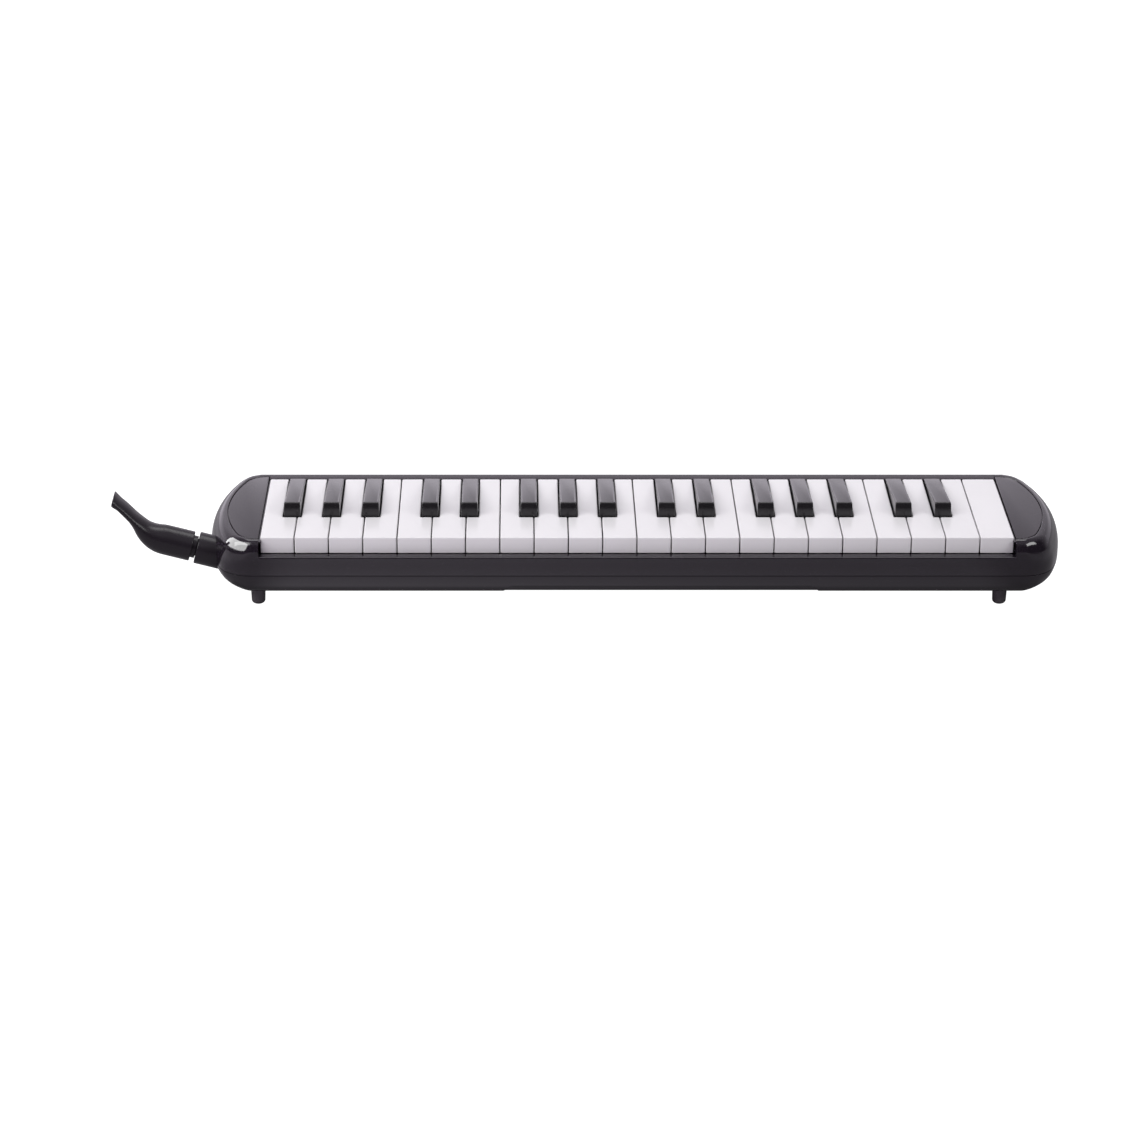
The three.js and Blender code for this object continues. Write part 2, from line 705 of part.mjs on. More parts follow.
// Bends a turned body about Z onto the mouthpiece's axis: a point's height becomes its distance
// along the axis and its radius is reduced by what the section has lost there.
function bendOntoAxis(geometry) {
  const position = geometry.attributes.position;
  for (let index = 0; index < position.count; index += 1) {
    const x = position.getX(index);
    const y = position.getY(index);
    const distance = position.getZ(index);
    const radius = Math.hypot(x, y);
    const section = mouthSection(distance);
    const axis = mouthAxis(distance);
    const lean = THREE.MathUtils.smoothstep(distance, bendEnd + 6, tipEnd);
    const facing = THREE.MathUtils.lerp(axis.slope, tipFaceTilt, lean);
    const rise = (x / radius) * (radius - mouthRadius + section.thin);
    const across = (y / radius) * (radius - mouthRadius + section.wide);
    const out = axis.out - rise * Math.sin(facing);
    const up = axis.up + rise * Math.cos(facing);
    position.setXYZ(index, socketX - out, socketY + across, socketZ + up);
  }
  return geometry;
}

function mouthpiece() {
  const plugEnd = neckStart - plugLength;
  const ring = socketOut - ringFromMouth;
  const grooveStart = ring - ringGrooveWidth / 2;
  const grooveEnd = ring + ringGrooveWidth / 2;
  const profile = [
    [plugBore, plugEnd], [plugRadius, plugEnd],
    [plugRadius, grooveStart], [ringGrooveRadius, grooveStart],
    [ringGrooveRadius, grooveEnd], [plugRadius, grooveEnd],
    [plugRadius, neckStart], [neckRadius, neckStart],
    [neckRadius, mouthStart], [mouthRadius, mouthStart],
  ];
  const steps = 11;
  for (let step = 1; step <= steps; step += 1) {
    profile.push([mouthRadius, THREE.MathUtils.lerp(bendStart - 8, tipEnd, step / steps)]);
  }
  for (let step = steps; step >= 1; step -= 1) {
    const distance = THREE.MathUtils.lerp(bendStart - 8, tipEnd, step / steps);
    profile.push([mouthRadius - mouthWall, distance]);
  }
  profile.push([mouthRadius - mouthWall, mouthStart + mouthWall]);
  profile.push([plugBore, mouthStart + mouthWall - 2], profile[0]);
  return bendOntoAxis(turned(profile, 16));
}

function plugRing() {
  const centre = ringGrooveRadius + seatGap + ringWire;
  const geometry = new THREE.TorusGeometry(centre, ringWire, 6, 16);
  geometry.translate(0, 0, socketOut - ringFromMouth);
  return onSocketAxis(geometry);
}

// ---- feet, strap and drain ----

function foot(x, y) {
  const top = caseBottom - seatGap;
  const geometry = turned([
    [0, 0],
    [footRadius - footTaper - footRounding, 0],
    [footRadius - footTaper - 0.3 * footRounding, 0.3 * footRounding],
    [footRadius - footTaper, footRounding],
    [footRadius, top],
    [0, top],
  ]);
  geometry.translate(x, y, 0);
  return geometry;
}

// Bracket on the underside with a slot that takes the end of the strap.
function strapAnchor(side) {
  const near = strapSpan / 2;
  const far = near + anchorLength;
  const half = strapWidth / 2;
  const top = caseBottom - seatGap;
  const slotBottom = top - anchorHeight + anchorWall;
  const block = box(near, far, -half - 2 * anchorWall, half + 2 * anchorWall, top - anchorHeight, top);
  const slot = box(near - 1, far - anchorWall, -half - runningGap, half + runningGap,
    slotBottom, slotBottom + strapThickness + 2 * seatGap);
  const bracket = block.subtract(slot);
  return side > 0 ? bracket : bracket.rotate([0, 0, 180]);
}

// Strap under the case: level in the anchors and bowed down between them.
function handStrap() {
  const height = caseBottom - seatGap - anchorHeight + anchorWall + seatGap;
  const inside = strapSpan / 2 + anchorLength - anchorWall - seatGap;
  const span = strapSpan / 2 - 2;
  const line = [];
  const steps = 16;
  for (let step = 0; step <= steps; step += 1) {
    const x = THREE.MathUtils.lerp(-span, span, step / steps);
    line.push([x, height - strapBow * (0.5 + 0.5 * Math.cos((Math.PI * x) / span))]);
  }
  const lower = [[-inside, height], ...line, [inside, height]];
  const upper = lower.map(([x, z]) => [x, z + strapThickness]).reverse();
  return alongY(polygon([...lower, ...upper]), -strapWidth / 2, strapWidth / 2);
}

const drainX = caseEnd - drainFromEnd;
const drainHeadTop = caseBottom - drainHeadBelow;

// Head under the case, stem through both floors and the disc that closes the chamber from inside.
function drainButton() {
  const discBottom = chamberBottom + chamberWall + seatGap;
  const discTop = discBottom + drainDiscHeight;
  const geometry = turned([
    [0, drainHeadTop - drainHeadHeight],
    [drainHeadRadius - 0.6, drainHeadTop - drainHeadHeight],
    [drainHeadRadius, drainHeadTop - drainHeadHeight + 0.6],
    [drainHeadRadius, drainHeadTop],
    [drainStemRadius, drainHeadTop],
    [drainStemRadius, discBottom],
    [drainDiscRadius, discBottom],
    [drainDiscRadius, discTop],
    [0, discTop],
  ]);
  geometry.translate(drainX, drainY, 0);
  return geometry;
}

// Helix of spring wire about the drain stem.
class Helix extends THREE.Curve {
  getPoint(t, target = new THREE.Vector3()) {
    const low = drainHeadTop + seatGap + drainWire;
    const high = caseBottom - seatGap - drainWire;
    const angle = 2 * Math.PI * drainTurns * t;
    return target.set(drainX + drainSpringRadius * Math.cos(angle),
      drainY + drainSpringRadius * Math.sin(angle), THREE.MathUtils.lerp(low, high, t));
  }
}

function drainSpring() {
  const section = new THREE.Shape();
  section.absarc(0, 0, drainWire, 0, 2 * Math.PI);
  return new THREE.ExtrudeGeometry(section, {
    steps: 12 * drainTurns,
    curveSegments: 3,
    extrudePath: new Helix(),
  });
}

// ---- materials and assembly ----

const finishes = {
  caseBlack: { color: 0x1c1a1e, roughness: 0.2, metalness: 0 },
  panelGrey: { color: 0x2b282d, roughness: 0.35, metalness: 0 },
  keyWhite: { color: 0xf0eff0, roughness: 0.3, metalness: 0 },
  keyBlack: { color: 0x141316, roughness: 0.35, metalness: 0 },
  blackPlastic: { color: 0x19181b, roughness: 0.35, metalness: 0 },
  chamberPlastic: { color: 0x8d8f92, roughness: 0.5, metalness: 0 },
  steel: { color: 0xb4b6ba, roughness: 0.3, metalness: 1 },
  brass: { color: 0xb98f4c, roughness: 0.35, metalness: 1 },
  felt: { color: 0x4b2226, roughness: 0.95, metalness: 0 },
  rubber: { color: 0x1a1a1a, roughness: 0.8, metalness: 0 },
  webbing: { color: 0x151517, roughness: 0.9, metalness: 0 },
};

const instrument = new THREE.Group();

function place(name, finish, shape) {
  const geometry = shape.isBufferGeometry ? shape : surface(shape);
  const mesh = new THREE.Mesh(geometry, new THREE.MeshStandardMaterial(finishes[finish]));
  mesh.name = name;
  instrument.add(mesh);
}

place('upper_case', 'caseBlack', upperCase());
place('lower_case', 'caseBlack', lowerCase());
place('right_end_panel', 'panelGrey', endPanel(0, 0, caseTop - panelThickness, caseTop));
place('left_end_panel', 'panelGrey', endPanel(Math.PI, 0, caseTop - panelThickness, caseTop));
for (const key of keys) {
  const finish = key.black ? 'keyBlack' : 'keyWhite';
  place(key.name, finish, key.black ? blackKey(key) : whiteKey(key));
}
place('key_shaft', 'steel', keyShaft());
place('spring_comb', 'steel', springComb());
place('key_stop_felt', 'felt', stopFelt());
place('valve_plate', 'chamberPlastic', valvePlate());
place('air_chamber', 'chamberPlastic', airChamber());
const plateSplit = Math.ceil(keys.length / 2);
place('reed_plate_low', 'brass', reedPlate(0, plateSplit));
place('reed_plate_high', 'brass', reedPlate(plateSplit, keys.length));
place('blow_socket', 'blackPlastic', blowSocket());
place('mouthpiece', 'blackPlastic', mouthpiece());
place('plug_ring', 'rubber', plugRing());
const leftFootX = leftFootFromEnd - caseEnd;
const rightFootX = caseEnd - rightFootFromEnd;
const footY = caseBack - footInset;
place('foot_front_left', 'rubber', foot(leftFootX, -footY));
place('foot_front_right', 'rubber', foot(rightFootX, -footY));
place('foot_back_left', 'rubber', foot(leftFootX, footY));
place('foot_back_right', 'rubber', foot(rightFootX, footY));
place('strap_anchor_left', 'blackPlastic', strapAnchor(-1));
place('strap_anchor_right', 'blackPlastic', strapAnchor(1));
place('hand_strap', 'webbing', handStrap());
place('drain_button', 'blackPlastic', drainButton());
place('drain_spring', 'steel', drainSpring());

// The origin is on the standing surface, under the middle of the whole instrument.
const extent = new THREE.Box3().setFromObject(instrument);
instrument.position.x = -(extent.min.x + extent.max.x) / 2;

const melodica = new THREE.Group();
melodica.add(instrument);

export default melodica;
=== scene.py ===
import math

import bpy
import numpy as np
from mathutils import Euler, Matrix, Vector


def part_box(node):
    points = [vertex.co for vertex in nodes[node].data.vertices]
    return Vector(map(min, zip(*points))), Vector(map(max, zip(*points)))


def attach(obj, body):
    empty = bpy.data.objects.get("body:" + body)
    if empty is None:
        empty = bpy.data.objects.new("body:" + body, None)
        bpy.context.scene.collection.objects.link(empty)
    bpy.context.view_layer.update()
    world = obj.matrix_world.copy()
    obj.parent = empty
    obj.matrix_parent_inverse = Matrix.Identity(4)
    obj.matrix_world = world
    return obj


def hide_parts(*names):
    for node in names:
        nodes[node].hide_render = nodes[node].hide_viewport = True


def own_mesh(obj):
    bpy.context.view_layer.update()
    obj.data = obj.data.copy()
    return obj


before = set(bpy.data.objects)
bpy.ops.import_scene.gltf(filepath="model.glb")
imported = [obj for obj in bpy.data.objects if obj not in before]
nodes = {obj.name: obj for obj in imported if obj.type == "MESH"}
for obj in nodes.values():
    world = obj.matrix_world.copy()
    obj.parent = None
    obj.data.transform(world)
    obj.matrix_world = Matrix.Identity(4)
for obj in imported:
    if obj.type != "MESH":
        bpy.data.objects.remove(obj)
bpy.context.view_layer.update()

# Melodica, metres. Every surface below is a function of two parameters on a grid, placed from the
# frame's own boxes, so each finished object stands at the origin.
mm = 0.001


def gridFaces(rows, columns, wrapRows=False):
    # quads between neighbouring rings; columns always close, rows only if asked
    lastRow = rows if wrapRows else rows - 1
    row, column = np.meshgrid(np.arange(lastRow), np.arange(columns), indexing="ij")
    nextRow = (row + 1) % rows
    nextColumn = (column + 1) % columns
    quads = np.stack([
        row * columns + column,
        row * columns + nextColumn,
        nextRow * columns + nextColumn,
        nextRow * columns + column,
    ], axis=-1)
    return quads.reshape(-1, 4).tolist()


def loft(rings, wrapRows=False, caps=True):
    # rings is rows x columns x 3; open ends are closed by flat caps
    rows, columns, _ = rings.shape
    faces = gridFaces(rows, columns, wrapRows)
    if caps and not wrapRows:
        faces.append(list(range(columns))[::-1])
        faces.append(list(range((rows - 1) * columns, rows * columns)))
    return outward(rings.reshape(-1, 3), faces)


def outward(points, faces):
    # signed volume by fans from each face's first corner; a negative one means inside out
    volume = 0.0
    for face in faces:
        corner = points[face]
        fan = np.cross(corner[1:-1], corner[2:])
        volume += float((corner[0] * fan).sum())
    if volume < 0:
        faces = [face[::-1] for face in faces]
    return points, faces


def boxOf(name):
    # lowest and highest corner of a frame node
    return [np.array(corner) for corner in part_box(name)]


def level(plan, height):
    # a plan lifted to one height, or to one height for each of its points
    return np.column_stack([plan, np.broadcast_to(height, len(plan))])


def quarterSteps(count):
    # along a quarter circle in even turns: the share still to go, 1 less the sine, and the share
    # covered, 1 less the cosine
    turn = np.linspace(0, np.pi / 2, count)
    return zip(1 - np.sin(turn), 1 - np.cos(turn))


def smoothStep(value, low, high):
    # 0 below low, 1 above high, and three squares less two cubes of the share between
    t = np.clip((value - low) / (high - low), 0, 1)
    return t * t * (3 - 2 * t)


def makePiece(name, parts, material, body, stands=(), sharp=35.0):
    # joins closed parts into one mesh; edges bent by more than sharp degrees stay crisp
    points = np.concatenate([part[0] for part in parts])
    faces = []
    start = 0
    for partPoints, partFaces in parts:
        faces.extend([[index + start for index in face] for face in partFaces])
        start += len(partPoints)
    mesh = bpy.data.meshes.new(name)
    mesh.from_pydata(points.tolist(), [], faces)
    mesh.polygons.foreach_set("use_smooth", np.ones(len(mesh.polygons), dtype=bool))
    mesh.set_sharp_from_angle(angle=math.radians(sharp))
    mesh.materials.append(material)
    mesh.update()
    piece = bpy.data.objects.new(name, mesh)
    bpy.context.scene.collection.objects.link(piece)
    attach(piece, body)
    if stands:
        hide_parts(*stands)
    return piece


def turned(profile, centre, steps=40):
    # profile of (radius, height) carried round a line along Z; radii on it become small caps
    profile = np.asarray(profile, float)
    angle = np.linspace(0, 2 * np.pi, steps, endpoint=False)
    radius = np.maximum(profile[:, :1], 1e-6)
    x = centre[0] + radius * np.cos(angle)
    y = centre[1] + radius * np.sin(angle)
    z = np.repeat(profile[:, 1:2], steps, axis=1)
    return loft(np.stack([x, y, z], axis=-1))


def prismAlongX(outline, x0, x1):
    # a closed outline in Y and Z carried from x0 to x1
    outline = np.asarray(outline, float)
    ends = [np.column_stack([np.full(len(outline), x), outline]) for x in (x0, x1)]
    return loft(np.stack(ends))


def roundedBox(low, high, radius, cornerSteps=4, edgeSteps=4):
    # rings of a rounded rectangle drawn in towards the flat top and bottom by a quarter circle
    low = np.asarray(low, float)
    high = np.asarray(high, float)
    turn = np.linspace(0, np.pi / 2, edgeSteps + 1)
    drawnIn = radius * (1 - np.sin(turn))
    climbed = radius * (1 - np.cos(turn))
    inset = np.concatenate([drawnIn, climbed])
    height = np.concatenate([low[2] + climbed, high[2] - drawnIn])
    rings = []
    for ringInset, ringHeight in zip(inset, height):
        corners = np.array([
            [low[0] + ringInset, low[1] + ringInset],
            [high[0] - ringInset, low[1] + ringInset],
            [high[0] - ringInset, high[1] - ringInset],
            [low[0] + ringInset, high[1] - ringInset],
        ])
        plan = roundCorners(corners, max(1.6 * radius - ringInset, 0.3 * radius), cornerSteps)
        rings.append(level(plan, ringHeight))
    return loft(np.stack(rings))


def roundCorners(corners, radius, steps=4):
    # every corner becomes a quadratic curve between points set back from it by radius
    corners = np.asarray(corners, float)
    before = np.roll(corners, 1, axis=0) - corners
    after = np.roll(corners, -1, axis=0) - corners
    before /= np.linalg.norm(before, axis=1, keepdims=True)
    after /= np.linalg.norm(after, axis=1, keepdims=True)
    t = np.linspace(0, 1, steps + 1)[None, :, None]
    first = (corners + before * radius)[:, None]
    last = (corners + after * radius)[:, None]
    curve = (1 - t) ** 2 * first + 2 * t * (1 - t) * corners[:, None] + t ** 2 * last
    return curve.reshape(-1, 2)


def insetPolygon(corners, inset):
    # each side of an anticlockwise polygon moves in by inset; corners are where they then meet
    corners = np.asarray(corners, float)
    side = np.roll(corners, -1, axis=0) - corners
    side /= np.linalg.norm(side, axis=1, keepdims=True)
    inward = np.column_stack([-side[:, 1], side[:, 0]])
    before = np.roll(inward, 1, axis=0)
    spread = 1 + (before * inward).sum(axis=1, keepdims=True)
    return corners + inset * (before + inward) / spread


def setInputs(tree, node, values):
    # plain values go on the node's own sockets, and other nodes' outputs are joined to them
    for name, value in values.items():
        if isinstance(value, bpy.types.NodeSocket):
            tree.links.new(value, node.inputs[name])
        else:
            node.inputs[name].default_value = value


def addNode(tree, kind, values):
    # one shader node with its inputs given by name
    node = tree.nodes.new("ShaderNode" + kind)
    setInputs(tree, node, values)
    return node


def mathNode(tree, operation, first, second=0, clamp=False):
    # one operation on two numbers or outputs
    node = tree.nodes.new("ShaderNodeMath")
    node.operation = operation
    node.use_clamp = clamp
    setInputs(tree, node, {0: first, 1: second})
    return node.outputs[0]


def mapRange(tree, value, fromLow, fromHigh, toLow=0.0, toHigh=1.0, blend="SMOOTHSTEP"):
    # carries the span of values from low to high onto another span
    node = tree.nodes.new("ShaderNodeMapRange")
    node.interpolation_type = blend
    setInputs(tree, node, {
        "Value": value, "From Min": fromLow, "From Max": fromHigh, "To Min": toLow,
        "To Max": toHigh})
    return node.outputs["Result"]


def mixColours(tree, factor, first, second):
    # first colour where the factor is 0, second where it is 1; either may be an output
    node = tree.nodes.new("ShaderNodeMix")
    node.data_type = "RGBA"
    ends = [(*end, 1.0) if isinstance(end, tuple) else end for end in (first, second)]
    setInputs(tree, node, {"Factor": factor, "A": ends[0], "B": ends[1]})
    return node.outputs["Result"]


def newGroup(name, inputs, outputs):
    # a group with its sockets made, what enters it and the node where its results leave
    group = bpy.data.node_groups.new(name, "ShaderNodeTree")
    for socket, kind in inputs:
        group.interface.new_socket(
            name=socket, in_out="INPUT", socket_type="NodeSocket" + kind)
    for socket in outputs:
        group.interface.new_socket(name=socket, in_out="OUTPUT", socket_type="NodeSocketFloat")
    entry = group.nodes.new("NodeGroupInput")
    return group, entry.outputs, group.nodes.new("NodeGroupOutput")


def placeGroup(tree, group, values):
    # one use of a shared group with its own values
    node = tree.nodes.new("ShaderNodeGroup")
    node.node_tree = group
    setInputs(tree, node, values)
    return node.outputs


def buildGrainGroup():
    # fine moulding grain: a small noise is the height, a broad one the mask between two tones
    group, entry, leave = newGroup(
        "mouldGrain", [("Vector", "Vector"), ("Scale", "Float")], ["Height", "Mask"])
    fine = addNode(group, "TexNoise", {
        "Vector": entry["Vector"], "Scale": entry["Scale"], "Detail": 3.0})
    broad = addNode(group, "TexNoise", {"Vector": entry["Vector"], "Scale": 38.0, "Detail": 4.0})
    setInputs(group, leave, {"Height": fine.outputs["Fac"], "Mask": broad.outputs["Fac"]})
    return group


def buildHandlingGroup():
    # handling marks: broad smudges, thin hairlines and specks of dust as separate masks
    group, entry, leave = newGroup(
        "handlingMarks", [("Vector", "Vector")], ["Smudge", "Hairline", "Dust"])
    place = entry["Vector"]
    smudge = addNode(group, "TexNoise", {
        "Vector": place, "Scale": 24.0, "Detail": 5.0, "Distortion": 0.6})
    stretch = addNode(group, "Mapping", {
        "Vector": place, "Scale": (1.0, 34.0, 34.0), "Rotation": (0.0, 0.0, 0.5)})
    hairline = addNode(group, "TexNoise", {
        "Vector": stretch.outputs["Vector"], "Scale": 60.0, "Detail": 2.0})
    dust = addNode(group, "TexVoronoi", {"Vector": place, "Scale": 420.0})
    for name, source, low, high in (
        ("Smudge", smudge.outputs["Fac"], 0.48, 0.72),
        ("Hairline", hairline.outputs["Fac"], 0.70, 0.78),
        ("Dust", dust.outputs["Distance"], 0.08, 0.03),
    ):
        setInputs(group, leave, {name: mapRange(group, source, low, high, blend="LINEAR")})
    return group


grainGroup = buildGrainGroup()
handlingGroup = buildHandlingGroup()
dustTone = (0.42, 0.40, 0.38)


def newMaterial(name):
    # an empty material with its node tree and shader
    material = bpy.data.materials.new(name)
    material.use_nodes = True
    tree = material.node_tree
    return material, tree, tree.nodes["Principled BSDF"]


def objectPlace(tree):
    # position in the shared frame, since every piece stands at the origin
    return tree.nodes.new("ShaderNodeTexCoord").outputs["Object"]


def addBump(tree, height, strength, distance):
    # normal of a surface raised by the height times the distance
    bump = addNode(tree, "Bump", {"Strength": strength, "Distance": distance, "Height": height})
    return bump.outputs["Normal"]


def mouldedPlastic(name, look):
    # base colour drifts between two near tones, smudges and hairlines lift the roughness, and the
    # mould grain gives a faint bump
    material, tree, shader = newMaterial(name)
    place = objectPlace(tree)
    grain = placeGroup(tree, grainGroup, {"Vector": place, "Scale": look["grainScale"]})
    marks = placeGroup(tree, handlingGroup, {"Vector": place})
    tone = mixColours(tree, grain["Mask"], look["dark"], look["light"])
    dust = mathNode(tree, "MULTIPLY", marks["Dust"], look["dust"])
    smudged = mathNode(tree, "MULTIPLY", marks["Smudge"], look["smudge"])
    scratched = mathNode(tree, "MULTIPLY", marks["Hairline"], look["hairline"])
    both = mathNode(tree, "ADD", smudged, scratched)
    setInputs(tree, shader, {
        "Base Color": mixColours(tree, dust, tone, dustTone),
        "Roughness": mathNode(tree, "ADD", both, look["roughness"], clamp=True),
        "Normal": addBump(tree, grain["Height"], look["bump"], 0.0001), "IOR": look["ior"],
    })
    return material


def spunMetal(name, look):
    # drawn or rolled metal: noise stretched along X roughens and tints it
    material, tree, shader = newMaterial(name)
    stretch = addNode(tree, "Mapping", {"Vector": objectPlace(tree), "Scale": look["stretch"]})
    streak = addNode(tree, "TexNoise", {
        "Vector": stretch.outputs["Vector"], "Scale": 240.0, "Detail": 4.0}).outputs["Fac"]
    spread = mathNode(tree, "MULTIPLY", streak, 0.18)
    setInputs(tree, shader, {
        "Base Color": mixColours(tree, streak, look["dark"], look["light"]),
        "Roughness": mathNode(tree, "ADD", spread, look["roughness"]),
        "Normal": addBump(tree, streak, 0.12, 0.0001), "Metallic": 1.0,
    })
    return material


def fibrousCloth(name, look):
    # felt: tangled noise in colour and height, with a soft sheen
    material, tree, shader = newMaterial(name)
    fibre = addNode(tree, "TexNoise", {
        "Vector": objectPlace(tree), "Scale": look["scale"], "Detail": 8.0,
        "Distortion": 1.4}).outputs["Fac"]
    setInputs(tree, shader, {
        "Base Color": mixColours(tree, fibre, look["dark"], look["light"]),
        "Normal": addBump(tree, fibre, 0.7, 0.0003), "Roughness": 0.95, "Sheen Weight": 0.3,
    })
    return material


def wovenWebbing(name, look):
    # ribs across the tape and yarn ticks along it, from the strap's own length-and-width map
    material, tree, shader = newMaterial(name)
    place = tree.nodes.new("ShaderNodeUVMap")
    place.uv_map = "tape"
    scaled = addNode(tree, "Mapping", {
        "Vector": place.outputs["UV"],
        "Scale": (look["ribsPerMetre"], look["yarnsPerMetre"], 1.0)})
    parts = addNode(tree, "SeparateXYZ", {"Vector": scaled.outputs["Vector"]}).outputs
    alongWave, acrossWave = (
        mathNode(tree, "SINE", mathNode(tree, "MULTIPLY", parts[axis], 2 * math.pi))
        for axis in ("X", "Y"))
    weave = mathNode(tree, "MULTIPLY", alongWave, acrossWave)
    ribs = mathNode(tree, "ADD", mathNode(tree, "MULTIPLY", alongWave, 0.35), weave)
    height = mathNode(tree, "ADD", mathNode(tree, "MULTIPLY", ribs, 0.4), 0.5, clamp=True)
    setInputs(tree, shader, {
        "Base Color": mixColours(tree, height, look["dark"], look["light"]),
        "Normal": addBump(tree, height, 0.8, 0.0003), "Roughness": 0.85, "Sheen Weight": 0.4,
    })
    return material


plasticLooks = {
    "caseBlack": {
        "dark": (0.0080, 0.0058, 0.0092), "light": (0.0110, 0.0082, 0.0125), "roughness": 0.07,
        "smudge": 0.06, "hairline": 0.10, "dust": 0.10, "grainScale": 260.0, "bump": 0.03,
        "ior": 1.52,
    },
    "panelBlack": {
        "dark": (0.012, 0.009, 0.013), "light": (0.016, 0.0125, 0.0175), "roughness": 0.22,
        "smudge": 0.03, "hairline": 0.05, "dust": 0.08, "grainScale": 1500.0, "bump": 0.10,
        "ior": 1.52,
    },
    "keyWhite": {
        "dark": (0.705, 0.700, 0.705), "light": (0.745, 0.740, 0.745), "roughness": 0.22,
        "smudge": 0.05, "hairline": 0.03, "dust": 0.05, "grainScale": 700.0, "bump": 0.05,
        "ior": 1.48,
    },
    "keyBlack": {
        "dark": (0.0085, 0.0078, 0.0090), "light": (0.0120, 0.0110, 0.0125), "roughness": 0.20,
        "smudge": 0.05, "hairline": 0.05, "dust": 0.10, "grainScale": 1300.0, "bump": 0.12,
        "ior": 1.55,
    },
    "mouthBlack": {
        "dark": (0.0085, 0.0062, 0.0095), "light": (0.0120, 0.0090, 0.0132), "roughness": 0.33,
        "smudge": 0.10, "hairline": 0.08, "dust": 0.06, "grainScale": 900.0, "bump": 0.08,
        "ior": 1.42,
    },
    "partBlack": {
        "dark": (0.008, 0.0062, 0.0088), "light": (0.012, 0.0095, 0.0132), "roughness": 0.36,
        "smudge": 0.12, "hairline": 0.08, "dust": 0.06, "grainScale": 1400.0, "bump": 0.20,
        "ior": 1.43,
    },
    "footRubber": {
        "dark": (0.075, 0.069, 0.076), "light": (0.098, 0.090, 0.099), "roughness": 0.58,
        "smudge": 0.15, "hairline": 0.05, "dust": 0.30, "grainScale": 2200.0, "bump": 0.35,
        "ior": 1.45,
    },
    "chamberGrey": {
        "dark": (0.24, 0.245, 0.25), "light": (0.30, 0.305, 0.31), "roughness": 0.42,
        "smudge": 0.12, "hairline": 0.08, "dust": 0.20, "grainScale": 1200.0, "bump": 0.20,
        "ior": 1.48,
    },
}
metalLooks = {
    "shaftSteel": {
        "dark": (0.50, 0.51, 0.53), "light": (0.64, 0.65, 0.67), "roughness": 0.16,
        "stretch": (0.05, 1.0, 1.0),
    },
    "reedBrass": {
        "dark": (0.60, 0.42, 0.18), "light": (0.76, 0.57, 0.28), "roughness": 0.24,
        "stretch": (0.1, 1.0, 1.0),
    },
}
materials = {name: mouldedPlastic(name, look) for name, look in plasticLooks.items()}
materials.update({name: spunMetal(name, look) for name, look in metalLooks.items()})
materials["stopFelt"] = fibrousCloth("stopFelt", {
    "scale": 1900.0, "dark": (0.11, 0.018, 0.022), "light": (0.26, 0.055, 0.06),
})
materials["padFelt"] = fibrousCloth("padFelt", {
    "scale": 2200.0, "dark": (0.42, 0.38, 0.30), "light": (0.62, 0.57, 0.47),
})
materials["strapTape"] = wovenWebbing("strapTape", {
    "ribsPerMetre": 620.0, "yarnsPerMetre": 520.0,
    "dark": (0.006, 0.006, 0.007), "light": (0.030, 0.030, 0.033),
})
print("materials ready")


caseLook = {
    "endArc": 113.0 * mm,  # large arc of each end, in plan
    "corner": 19.0 * mm,  # arc that joins it to the straight sides
    "wall": 2.4 * mm,
    "endFillet": 9.4 * mm,  # top edge, measured in from the ends
    "sideFillet": 5.15 * mm,  # top edge, measured in from front and back
    "backFillet": 2.2 * mm,
    "filletHeight": 9.4 * mm,  # at the front
    "endFilletHeight": 17.0 * mm, "backFilletHeight": 3.2 * mm,
    "seamEdge": 0.04 * mm, "seamGap": 0.3 * mm,
    "ledgeFillet": 0.9 * mm,
    "lipDepth": 3.0 * mm,
    "recessDepth": 1.3 * mm,
    "bottomRound": 13.0 * mm,
    "bottomEndDraw": 10.0 * mm,  # by which that edge is drawn in further at the ends
    "floor": 2.6 * mm,
    "keyGap": 0.8 * mm,  # keys to the edges of their opening
    "crisp": 0.35 * mm,  # rounding of the cut edges
    "laps": 0.02 * mm,  # by which the end floors lie below the recess
    "cheekInset": 0.04 * mm, "floorReach": 1.2 * mm, "floorThick": 0.8 * mm,
}
panelLook = {
    "endInset": 10.0 * mm, "sideInset": 5.7 * mm, "corner": 12.0 * mm, "keyMargin": 0.8 * mm,
    "groove": 0.5 * mm, "edge": 0.35 * mm,
}
gripLook = {
    "start": -69.5 * mm, "end": 97.0 * mm, "height": 6.8 * mm, "reach": 11.0 * mm,
    "slope": 6.0 * mm, "setIn": 1.0 * mm,
}

upperLow, upperHigh = boxOf("upper_case")
lowerLow = boxOf("lower_case")[0]
whiteKeys = [name for name in nodes if name.startswith("key_") and len(name) == 6]
blackKeys = [name for name in nodes if name.startswith("key_") and name.endswith("_sharp")]
whiteKeys.sort(key=lambda name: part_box(name)[0][0])
blackKeys.sort(key=lambda name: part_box(name)[0][0])
firstKey = boxOf(whiteKeys[0])
lastKey = boxOf(whiteKeys[-1])
middleX = (firstKey[0][0] + lastKey[1][0]) / 2
keyFront = firstKey[0][1]
keyBack = firstKey[1][1]
keyTop = firstKey[1][2]
keysEnd = lastKey[1][0] - middleX  # half the keyboard's length, to the keys themselves
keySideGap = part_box(whiteKeys[1])[0][0] - firstKey[1][0]
keyboardEnd = keysEnd + keySideGap / 2
keyFoot = keyTop - 9.5 * mm
caseEnd = upperHigh[0] - middleX
halfDepth = (upperHigh[1] - upperLow[1]) / 2
rimTop = upperHigh[2]
seamHeight = upperLow[2]
openingEnd = keysEnd + caseLook["keyGap"]


